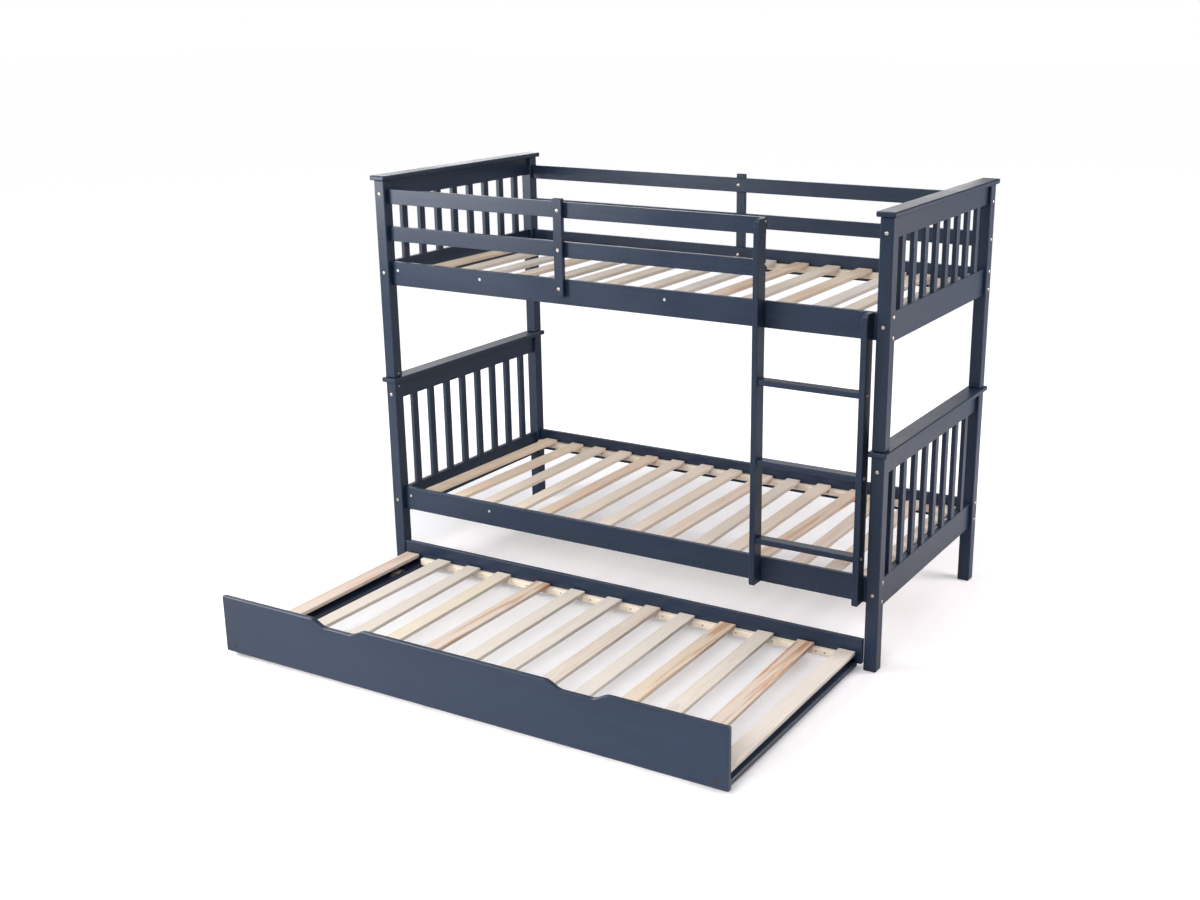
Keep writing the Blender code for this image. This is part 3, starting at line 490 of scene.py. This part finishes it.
def middle(name):
    """The middle of a solid's box."""
    low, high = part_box(name)
    return tuple((first + last) / 2 for first, last in zip(low, high))


def spread(first, last, count):
    """Places spread evenly from the first to the last."""
    return [first + (last - first) * i / (count - 1) for i in range(count)]


def jitter(i, salt):
    """A small repeatable number from 0 to 1 for board i."""
    return math.modf(math.sin(i * 12.9898 + salt * 78.233) * 43758.5453)[0] % 1.0


def points_at(places, **columns):
    """A mesh of loose points, with a value of each kind at every point."""
    mesh = bpy.data.meshes.new("places")
    mesh.from_pydata(places, [], [])
    for name, column in columns.items():
        if isinstance(column[0], (int, float)):
            attribute = mesh.attributes.new(name, "FLOAT", "POINT")
            attribute.data.foreach_set("value", [float(value) for value in column])
        else:
            attribute = mesh.attributes.new(name, "FLOAT_VECTOR", "POINT")
            attribute.data.foreach_set("vector", [number for value in column for number in value])
    return mesh


def new_tree(name, sockets):
    """An empty tree with named inputs, its two end nodes and the sockets' identifiers."""
    tree = bpy.data.node_groups.new(name, "GeometryNodeTree")
    tree.interface.new_socket("Places", in_out="INPUT", socket_type="NodeSocketGeometry")
    ids = {}
    for label, kind in sockets:
        socket = tree.interface.new_socket(label, in_out="INPUT", socket_type="NodeSocket" + kind)
        ids[label] = socket.identifier
    tree.interface.new_socket("Pieces", in_out="OUTPUT", socket_type="NodeSocketGeometry")
    return tree, tree.nodes.new("NodeGroupInput"), tree.nodes.new("NodeGroupOutput"), ids


def read_vector(tree, name):
    """A node that reads a vector of the points by its name."""
    reader = tree.nodes.new("GeometryNodeInputNamedAttribute")
    reader.data_type = "FLOAT_VECTOR"
    reader.inputs["Name"].default_value = name
    return reader.outputs["Attribute"]


def finish_tree(tree, start, end, instances):
    """Ends a tree: the instances made real, and given their finish."""
    real = tree.nodes.new("GeometryNodeRealizeInstances")
    coat = tree.nodes.new("GeometryNodeSetMaterial")
    tree.links.new(instances, real.inputs["Geometry"])
    tree.links.new(real.outputs["Geometry"], coat.inputs["Geometry"])
    tree.links.new(start.outputs["Finish"], coat.inputs["Material"])
    tree.links.new(coat.outputs["Geometry"], end.inputs[0])


def board_tree():
    """A tree that lays a sawn board of one size on every point, with the point's own turn."""
    tree, start, end, ids = new_tree("boards_on_places", (("Size", "Vector"),
                                                          ("Finish", "Material")))
    cube = tree.nodes.new("GeometryNodeMeshCube")
    lay = tree.nodes.new("GeometryNodeInstanceOnPoints")
    link = tree.links.new
    link(read_vector(tree, "board_skew"), lay.inputs["Rotation"])
    link(start.outputs["Size"], cube.inputs["Size"])
    link(start.outputs["Places"], lay.inputs["Points"])
    link(cube.outputs["Mesh"], lay.inputs["Instance"])
    finish_tree(tree, start, end, lay.outputs["Instances"])
    return tree, ids


def fastening_tree():
    """A tree that seats a head on every point, facing outwards and turned a little by chance."""
    tree, start, end, ids = new_tree("heads_on_places", (("Head", "Object"), ("Turn", "Float"),
                                                         ("Seed", "Int"), ("Finish", "Material")))
    head = tree.nodes.new("GeometryNodeObjectInfo")
    aim = tree.nodes.new("FunctionNodeAlignRotationToVector")
    aim.axis = "Z"
    seat = tree.nodes.new("GeometryNodeInstanceOnPoints")
    chance = tree.nodes.new("FunctionNodeRandomValue")
    chance.data_type = "FLOAT"
    turn = tree.nodes.new("ShaderNodeCombineXYZ")
    spin = tree.nodes.new("GeometryNodeRotateInstances")
    link = tree.links.new
    link(start.outputs["Head"], head.inputs["Object"])
    link(read_vector(tree, "outward"), aim.inputs["Vector"])
    link(start.outputs["Places"], seat.inputs["Points"])
    link(head.outputs["Geometry"], seat.inputs["Instance"])
    link(aim.outputs["Rotation"], seat.inputs["Rotation"])
    link(start.outputs["Turn"], chance.inputs[3])
    link(start.outputs["Seed"], chance.inputs["Seed"])
    link(chance.outputs[1], turn.inputs["Z"])
    link(seat.outputs["Instances"], spin.inputs["Instances"])
    link(turn.outputs["Vector"], spin.inputs["Rotation"])
    finish_tree(tree, start, end, spin.outputs["Instances"])
    return tree, ids


BOARDS = board_tree()
HEADS = fastening_tree()


def bake(name, points, tree_and_ids, values, body, ease=0):
    """Runs a tree on its points, eases the edges if asked, and keeps the result as a mesh."""
    tree, ids = tree_and_ids
    piece = bpy.data.objects.new(name, points)
    bpy.context.scene.collection.objects.link(piece)
    maker = piece.modifiers.new("maker", "NODES")
    maker.node_group = tree
    for label, value in values.items():
        maker[ids[label]] = value
    if ease:
        bevel = piece.modifiers.new("eased_edges", "BEVEL")
        bevel.width = ease
        bevel.segments = 2
        bevel.limit_method = "ANGLE"
        bevel.harden_normals = True
    graph = bpy.context.evaluated_depsgraph_get()
    mesh = bpy.data.meshes.new_from_object(piece.evaluated_get(graph), depsgraph=graph)
    piece.modifiers.clear()
    piece.data = mesh
    mesh.name = name
    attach(piece, body)
    return piece


def lay_boards(name, points, size, finish, body, ease):
    """Boards of one size with eased edges, one on every point."""
    return bake(name, points, BOARDS, {"Size": size, "Finish": finish}, body, ease)


def seat_heads(name, shape, places, finish, body):
    """Seats one kind of head at every place of a list of (point, outward direction)."""
    mesh = bpy.data.meshes.new(name + "_shape")
    shape.to_mesh(mesh)
    shape.free()
    source = bpy.data.objects.new(name + "_shape", mesh)
    bpy.context.scene.collection.objects.link(source)
    points = points_at([point for point, outward in places],
                       outward=[outward for point, outward in places])
    values = {"Head": source, "Turn": HEAD_TURN, "Seed": HEAD_SEED, "Finish": finish}
    piece = bake(name, points, HEADS, values, body)
    bpy.data.objects.remove(source)
    return piece


def spun(profile, sides, centre=(0, 0, 0), axis=(0, 0, 1)):
    """A turned solid, from a profile of (along, radius).

    The profile starts and ends on the axis, or else it is a closed ring.
    """
    turn = Vector((0, 0, 1)).rotation_difference(Vector(axis)).to_matrix().to_4x4()
    place = Matrix.Translation(centre) @ turn
    angles = [2 * math.pi * i / sides for i in range(sides)]
    mesh_data = bmesh.new()
    rows = []
    for height, radius in profile:
        if radius == 0:
            points = [(0, 0, height)]
        else:
            points = [(radius * math.cos(a), radius * math.sin(a), height) for a in angles]
        rows.append([mesh_data.verts.new(place @ Vector(point)) for point in points])
    pairs = list(zip(rows, rows[1:]))
    if len(rows[0]) > 1:
        pairs.append((rows[-1], rows[0]))
    for low, high in pairs:
        for i in range(sides):
            j = (i + 1) % sides
            if len(low) == 1:
                mesh_data.faces.new((low[0], high[i], high[j]))
            elif len(high) == 1:
                mesh_data.faces.new((low[i], high[0], low[j]))
            else:
                mesh_data.faces.new((low[i], high[i], high[j], low[j]))
    bmesh.ops.recalc_face_normals(mesh_data, faces=mesh_data.faces)
    for face in mesh_data.faces:
        face.smooth = True
    return mesh_data


def turned_head(profile, radius, sides):
    """A round head that stands on the origin, from a profile with radii as shares."""
    return spun([(height, radius * share) for height, share in profile], sides)


def bolt_head():
    """A low domed bolt head with a hexagon socket, standing on the origin."""
    angles = [2 * math.pi * i / HEAD_FACETS for i in range(HEAD_FACETS)]
    sixth = math.radians(60)
    hexagon = [math.cos(sixth / 2) / math.cos((angle % sixth) - sixth / 2) for angle in angles]
    round_rows = [(height * HEAD_HEIGHT, [share * HEAD_RADIUS] * HEAD_FACETS)
                  for height, share in HEAD_PROFILE]
    socket_rows = [(height, [HEAD_RADIUS * SOCKET_RADIUS * reach for reach in hexagon])
                   for height in (HEAD_HEIGHT, HEAD_HEIGHT * SOCKET_FLOOR)]
    mesh_data = bmesh.new()
    rows = []
    for height, radii in round_rows + socket_rows:
        rows.append([mesh_data.verts.new((radius * math.cos(a), radius * math.sin(a), height))
                     for a, radius in zip(angles, radii)])
    for low, high in zip(rows, rows[1:]):
        for i in range(HEAD_FACETS):
            j = (i + 1) % HEAD_FACETS
            mesh_data.faces.new((low[i], low[j], high[j], high[i]))
    mesh_data.faces.new(rows[-1])
    mesh_data.faces.new(list(reversed(rows[0])))
    return mesh_data


def new_piece(name, mesh_data, finish, body):
    """A finished piece in its place, on its body."""
    mesh = bpy.data.meshes.new(name)
    mesh_data.to_mesh(mesh)
    mesh_data.free()
    piece = bpy.data.objects.new(name, mesh)
    mesh.materials.append(finish)
    bpy.context.scene.collection.objects.link(piece)
    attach(piece, body)
    return piece


def keep_corners(piece):
    """Smooth shading with the corners kept sharp."""
    piece.data.set_sharp_from_angle(angle=math.radians(CORNER_ANGLE))


# Pieces

def coat_solids():
    """Gives every solid its finish, with the grain along the board."""
    for name, node in nodes.items():
        low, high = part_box(name)
        size = high - low
        longest = "xyz"[max(range(3), key=lambda i: size[i])]
        if name.startswith(("caster_", "stacking_")):
            finish = HOUSING_STEEL
        elif name.startswith(("wheel_", "trundle_panel_cap_")):
            finish = BLACK_PLASTIC
        elif "slat" in name:
            finish = PINE["y"]
        else:
            finish = PAINT[longest]
        for slot in node.material_slots:
            slot.material = finish


def build_end_panel(name):
    """An end panel: two rails and a row of spindles, with the joints between them left visible."""
    low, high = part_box(name + "_panel")
    x, y = (low.x + high.x) / 2, (low.y + high.y) / 2
    width = high.y - low.y
    for part, z, height in (("bottom", low.z + END_BOTTOM_RAIL / 2, END_BOTTOM_RAIL),
                            ("top", high.z - END_TOP_RAIL / 2, END_TOP_RAIL)):
        rail = lay_boards("%s_end_rail_%s" % (name, part), points_at([(x, y, z)]),
                          (END_RAIL_THICKNESS, width, height), PAINT["y"], "bed",
                          END_RAIL_EASE)
        if part == "bottom":
            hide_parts(name + "_panel")
    bottom, top = low.z + END_BOTTOM_RAIL, high.z - END_TOP_RAIL
    gap = (width - SPINDLE_COUNT * SPINDLE_WIDTH) / (SPINDLE_COUNT + 1)
    inset = gap + SPINDLE_WIDTH / 2
    places = [(x, across, (top + bottom) / 2)
              for across in spread(low.y + inset, high.y - inset, SPINDLE_COUNT)]
    lay_boards(name + "_spindles", points_at(places),
               (SPINDLE_THICKNESS, SPINDLE_WIDTH, top - bottom + 2 * TENON), PAINT["z"], "bed",
               SPINDLE_EASE)


def build_front_guards():
    """The front guard boards, whose ends stay just behind the ladder's left stile."""
    for board in ("guard_top_front", "guard_lower_front"):
        low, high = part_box(board)
        size = high - low
        x, y, z = middle(board)
        guard = lay_boards(board + "_planed", points_at([(x - GUARD_SETBACK / 2, y, z)]),
                           (size.x - GUARD_SETBACK, size.y, size.z), PAINT["x"], "bed",
                           GUARD_EASE)
        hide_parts(board)


def lay_deck(kind, body, ends_x, ends_y, width, cleat, drop, replaced):
    """A deck: a row of slats, each from its own board, on two cleats.

    The ends are the middles of the two end slats along the bed, and the two ends of every slat
    across it. The drop is how far the deck lies below its solid.
    """
    name = kind + "_bed"
    count = len(SLAT_TONES_AND_PAINTED_LIGHT[kind])
    low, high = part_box(kind + "_slat_deck")
    top = high.z - drop
    places = []
    for i, x in enumerate(spread(*ends_x, count)):
        uneven = (jitter(i, UNEVEN_SALT) - 0.5) * UNEVEN_PLACE if 0 < i < count - 1 else 0
        places.append((x + SLIDES[kind][i] / 1000, sum(ends_y) / 2 + uneven,
                       top - SLAT_THICKNESS / 2))
    # Each slat's tone includes painted light and shade
    points = points_at(places, board_seed=[jitter(i, len(name)) for i in range(count)],
                       board_middle=places,
                       board_tone=[PINE_TONES[letter] for letter in SLAT_TONES_AND_PAINTED_LIGHT[kind]],
                       board_skew=[(0, 0, turn / 1000) for turn in TURNS[kind]],
                       board_heart=[HEARTWOOD[kind].get(i, 0.0) for i in range(count)])
    length = ends_y[1] - ends_y[0] - SLAT_END_PLAY
    slats = lay_boards(name + "_slats", points, (width, length, SLAT_THICKNESS), PINE["y"], body,
                       SLAT_EASE)
    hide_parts(*replaced)

    thickness, height = cleat
    z = top - SLAT_THICKNESS - CLEAT_BELOW_SLATS - height / 2
    places = [(0, low.y + thickness / 2, z), (0, high.y - thickness / 2, z)]
    points = points_at(places, board_seed=CLEAT_SEEDS, board_middle=places,
                       board_tone=[CLEAT_TONE_AND_PAINTED_LIGHT, CLEAT_TONE_AND_PAINTED_LIGHT], board_heart=[0.0, 0.0])
    lay_boards(name + "_cleats", points, (2 * (high.x - CLEAT_END_PLAY), thickness, height),
               PINE["x"], body, CLEAT_EASE)


def build_decks():
    """The slat decks of the two fixed beds and of the trundle."""
    for tier in TIERS:
        low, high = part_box(tier + "_slat_deck")
        drop = UPPER_DROP if tier == "upper" else 0
        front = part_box(tier + "_side_rail_front")[1].y + REST_ON_RAIL
        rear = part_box(tier + "_side_rail_rear")[0].y - REST_ON_RAIL - drop
        lay_deck(tier, "bed", (low.x + END_SLAT_INSET, high.x - END_SLAT_INSET), (front, rear),
                 BED_SLAT_WIDTH, BED_CLEAT, drop, [tier + "_slat_deck"])
    end_slats = ["trundle_end_slat_left", "trundle_end_slat_right"]
    low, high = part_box(end_slats[0])
    lay_deck("trundle", "trundle", [middle(name)[0] for name in end_slats], (low.y, high.y),
             TRUNDLE_SLAT_WIDTH, TRUNDLE_CLEAT, 0, ["trundle_slat_deck"] + end_slats)


def outer_x(end, solid):
    """The outer face of a solid at the bed's head or foot end, and the direction it faces."""
    low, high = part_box(solid)
    return (low.x, (-1, 0, 0)) if end == "head" else (high.x, (1, 0, 0))


def post_bolts():
    """The bolts through the posts, into the end panels and the side rails."""
    places = []
    for tier in TIERS:
        rail_z = middle(tier + "_side_rail_front")[2]
        for end in ENDS:
            panel = "%s_%s_panel" % (tier, end)
            low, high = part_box(panel)
            for row in ROWS:
                post = "%s_%s_post_%s" % (tier, end, row)
                rail_y = middle("lower_side_rail_" + row)[1]
                y, face = (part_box(post)[0].y, -1) if row == "front" else (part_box(post)[1].y, 1)
                for z in (low.z + PANEL_BOLT_UP, high.z - PANEL_BOLT_DOWN):
                    places.append(((middle(panel)[0], y, z), (0, face, 0)))
                x, outward = outer_x(end, post)
                for z in (rail_z - RAIL_BOLT_OFFSET, rail_z + RAIL_BOLT_OFFSET):
                    places.append(((x, rail_y, z), outward))
    return places


def guard_bolts():
    """The bolts through the posts into the guard boards' ends."""
    places = []
    for board in ("guard_top_", "guard_lower_"):
        for row, ends in (("front", ("head",)), ("rear", ENDS)):
            y, z = middle(board + row)[1:]
            for end in ends:
                x, outward = outer_x(end, "upper_%s_post_%s" % (end, row))
                places.append(((x, y, z), outward))
    return places


def support_bolts():
    """The bolts through the guard boards and the upper side rails into their supports."""
    places = []
    for board in ("guard_top_", "guard_lower_", "upper_side_rail_"):
        for row in ROWS:
            low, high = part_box(board + row)
            is_guard = board.startswith("guard")
            z = (low.z + high.z) / 2 if is_guard else high.z - SUPPORT_BOLT_DOWN
            support = "guard_support_" + row
            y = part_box(support)[0].y if row == "front" else low.y
            places.append(((middle(support)[0], y, z), (0, -1, 0)))
    return places


def ladder_bolts():
    """The bolts through the stiles into the treads, and through the rails into the stiles."""
    places = []
    for i in (1, 2, 3):
        y, z = middle("ladder_rung_%d" % i)[1:]
        places.append(((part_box("ladder_stile_left")[0].x, y, z), (-1, 0, 0)))
        places.append(((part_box("ladder_stile_right")[1].x, y, z), (1, 0, 0)))
    guards = ("guard_top_front", "guard_lower_front")
    rails = ("upper_side_rail_front", "lower_side_rail_front")
    for side, boards in (("left", guards + rails), ("right", rails)):
        for board in boards:
            low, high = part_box(board)
            z = (low.z + high.z) / 2 if board in guards else high.z - STILE_BOLT_DOWN
            places.append(((middle("ladder_stile_" + side)[0], high.y, z), (0, 1, 0)))
    return places


def insert_places():
    """The spare threaded inserts along the front rails, for a ladder at the other end."""
    places = []
    for tier in TIERS:
        low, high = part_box(tier + "_side_rail_front")
        for x in INSERT_X[tier]:
            places.append(((x, low.y, high.z - INSERT_DOWN), (0, -1, 0)))
    return places


def small_screw_places():
    """Small screws: low on the upper front posts' inner faces, and in the left stile's side."""
    places = []
    for end, inner, face in (("head", 1, 1), ("foot", 0, -1)):
        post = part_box("upper_%s_post_front" % end)
        for z in POST_SCREW_Z:
            places.append(((post[inner].x, post[0].y + POST_SCREW_BACK, z), (face, 0, 0)))
    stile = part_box("ladder_stile_left")[1]
    for z in STILE_SCREW_Z:
        places.append(((stile.x, stile.y - STILE_SCREW_BACK, z), (1, 0, 0)))
    return places


def cleat_screw_places(deck, cleat, along_bed):
    """The screws in a deck's two cleats: the front row is the rear one turned end for end."""
    low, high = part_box(deck)
    z = low.z + CLEAT_SCREW_UP
    places = []
    for x in along_bed:
        places.append(((x, high.y - cleat[0], z), (0, -1, 0)))
        places.append(((-x, low.y + cleat[0], z), (0, 1, 0)))
    return places


def build_fastenings():
    """Bolts, inserts and screws, one object of each kind for each body."""
    bolts = post_bolts() + guard_bolts() + support_bolts() + ladder_bolts()
    keep_corners(seat_heads("bolt_heads", bolt_head(), bolts, BOLT_PLATING, "bed"))
    seat_heads("threaded_inserts", turned_head(INSERT_PROFILE, INSERT_RADIUS, INSERT_FACETS),
               insert_places(), INSERT_PLATING, "bed")
    seat_heads("small_screws",
               turned_head(SMALL_HEAD_PROFILE, SMALL_HEAD_RADIUS, SMALL_HEAD_FACETS),
               small_screw_places(), INSERT_PLATING, "bed")
    screws = {"trundle": cleat_screw_places("trundle_slat_deck", TRUNDLE_CLEAT, TRUNDLE_SCREW_X),
              "bed": [place for tier in TIERS
                      for place in cleat_screw_places(tier + "_slat_deck", BED_CLEAT, BED_SCREW_X)]}
    # The cleat screws are flat discs with painted shade, standing in for the dark holes they sit in
    for body, places in screws.items():
        seat_heads(body + "_cleat_screws", turned_head(SCREW_PROFILE, SCREW_RADIUS, SCREW_FACETS),
                   places, SCREW_HOLE_SHADE, body)


def build_caps():
    """The black caps over the panel's bolts: a low dome in a rounded rim."""
    for side in SIDES:
        node = "trundle_panel_cap_" + side
        low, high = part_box(node)
        x, _, z = middle(node)
        rim = (high.x - low.x) / 2
        profile = [(depth, rim * share) for depth, share in CAP_PROFILE]
        cap = new_piece("cap_" + side, spun(profile, CAP_FACETS, (x, low.y, z), (0, 1, 0)),
                        BLACK_PLASTIC, "trundle")
        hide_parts(node)


def build_wheels():
    """The caster wheels: a rounded tread, a recessed web and a plain hub, bored for the axle."""
    for node in ["wheel_%s_%s" % (row, side) for row in ROWS for side in SIDES]:
        low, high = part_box(node)
        radius = (high.z - low.z) / 2
        half = (high.x - low.x) / 2
        left = [(-half + depth, hub) for depth, hub in WHEEL_HUB]
        left += [(-half + depth, radius - below) for depth, below in WHEEL_TREAD]
        right = [(-depth, ring) for depth, ring in reversed(left)]
        wheel = new_piece(node + "_moulding",
                          spun(left + right, WHEEL_FACETS, middle(node), (1, 0, 0)),
                          BLACK_PLASTIC, node)
        keep_corners(wheel)
        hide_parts(node)


coat_solids()
for tier in TIERS:
    for end in ENDS:
        build_end_panel("%s_%s" % (tier, end))
build_front_guards()
build_decks()
build_fastenings()
build_caps()
build_wheels()


# Studio

def aim_camera():
    """The camera at the photograph's place, with its frame."""
    azimuth, elevation, roll = (math.radians(angle) for angle in CAMERA_ANGLES)
    ahead = Vector((-math.sin(azimuth) * math.cos(elevation),
                    math.cos(azimuth) * math.cos(elevation), -math.sin(elevation)))
    right = Vector((math.cos(azimuth), math.sin(azimuth), 0))
    up = right.cross(ahead)
    tilted_right = math.cos(roll) * right + math.sin(roll) * up
    tilted_up = math.cos(roll) * up - math.sin(roll) * right
    axes = Matrix((tilted_right, tilted_up, -ahead)).transposed().to_4x4()
    camera = bpy.data.objects.new("camera", bpy.data.cameras.new("camera"))
    camera.matrix_world = Matrix.Translation(CAMERA_PLACE) @ axes
    camera.data.sensor_width = CAMERA_SENSOR
    camera.data.lens = CAMERA_LENS
    camera.data.shift_x, camera.data.shift_y = CAMERA_SHIFT
    camera.data.clip_end = CAMERA_REACH
    bpy.context.scene.collection.objects.link(camera)
    bpy.context.scene.camera = camera


def add_softbox(name, place, target, size, power, spread_degrees, tint):
    """A softbox aimed at a point; a spread under 180 degrees is a grid that narrows its beam."""
    lamp = bpy.data.lights.new(name, "AREA")
    lamp.shape = "RECTANGLE"
    lamp.size, lamp.size_y = size
    lamp.energy = power
    lamp.color = tint
    lamp.spread = math.radians(spread_degrees)
    softbox = bpy.data.objects.new(name, lamp)
    softbox.location = place
    softbox.visible_camera = False
    aim = Vector(target) - Vector(place)
    softbox.rotation_euler = aim.to_track_quat("-Z", "Y").to_euler()
    bpy.context.scene.collection.objects.link(softbox)


def build_world():
    """A dim room, white to the eye, with a bright backdrop behind the bed in shiny surfaces."""
    world = bpy.data.worlds.new("studio")
    bpy.context.scene.world = world
    world.use_nodes = True
    studio = Shading(world.node_tree)
    direction = studio.split(studio.add("TexCoord", {}, "Generated"))
    glow = 1.0
    for axis, numbers in BACKDROP:
        glow = studio.math("MULTIPLY", glow, studio.ramp(direction[axis], *numbers))
    room = studio.nodes["Background"]
    studio.set(room, "Color", ROOM_AIR)
    studio.set(room, "Strength", ROOM_STRENGTH)
    backdrop = studio.add("Background", {"Color": WHITE, "Strength": glow})
    white = studio.add("Background", {"Color": WHITE, "Strength": 1.0})
    lit = studio.add("MixShader", {0: studio.rays("Is Glossy Ray"), 1: room.outputs[0],
                                   2: backdrop})
    seen = studio.add("MixShader", {0: studio.rays("Is Camera Ray", "Is Transmission Ray"),
                                    1: lit, 2: white})
    studio.set(studio.nodes["World Output"], "Surface", seen)


def build_floor():
    """A plain pale floor that shows white away from the bed, with painted shade near it, and still
    keeps its shadow.
    """
    mesh_data = bmesh.new()
    bmesh.ops.create_grid(mesh_data, x_segments=1, y_segments=1, size=FLOOR_HALF)
    mesh = bpy.data.meshes.new("floor")
    mesh_data.to_mesh(mesh)
    mesh_data.free()
    floor = bpy.data.objects.new("floor", mesh)
    floor.location.z = -FLOOR_DROP
    bpy.context.scene.collection.objects.link(floor)

    finish = Finish("pale_floor")
    finish.coat({"Base Color": FLOOR_MATT, "Roughness": 0.7, "Specular IOR Level": 0.2})
    where = finish.coords()
    far = finish.add("VectorMath", {0: finish.stretch(where, (0.72, 1, 1))}, "Value",
                     operation="LENGTH")
    # The floor glows less near the bed, which paints shade round it, and glows fully white further
    # away
    glow = finish.add("Emission", {"Color": FLOOR_GLOW,
                                   "Strength": finish.ramp(far, 1.1, 2.8, 0.20, 1.0)})
    paper = finish.add("BsdfDiffuse", {"Color": FLOOR_PAPER})
    shown = finish.add("AddShader", {0: glow, 1: paper})

    # How much of the white floor shiny surfaces see: in front of the bed, and to its right
    parts = finish.split(where)
    leftward = finish.ramp(parts["X"], -2.5, 0.0, 0.34, 0.22)
    ahead = finish.math("MULTIPLY", finish.ramp(parts["Y"], -1.7, -1.25, leftward, 0.6),
                        finish.ramp(parts["Y"], -0.9, 0.6, 1.0, 0.0))
    mirrored = finish.math("MAXIMUM", ahead, finish.ramp(parts["X"], 0.9, 1.5, 0.0, 0.5))
    glossy = finish.math("MULTIPLY", finish.rays("Is Glossy Ray"), mirrored)
    amount = finish.math("MAXIMUM", finish.rays("Is Camera Ray", "Is Transmission Ray"), glossy)
    surface = finish.add("MixShader", {0: amount, 1: finish.shader.outputs[0], 2: shown})
    finish.set(finish.nodes["Material Output"], "Surface", surface)
    mesh.materials.append(finish.material)


aim_camera()
build_world()
build_floor()
for name, settings in SOFTBOXES.items():
    add_softbox(name + "_softbox", *settings)
bpy.context.scene.view_settings.view_transform = "Standard"
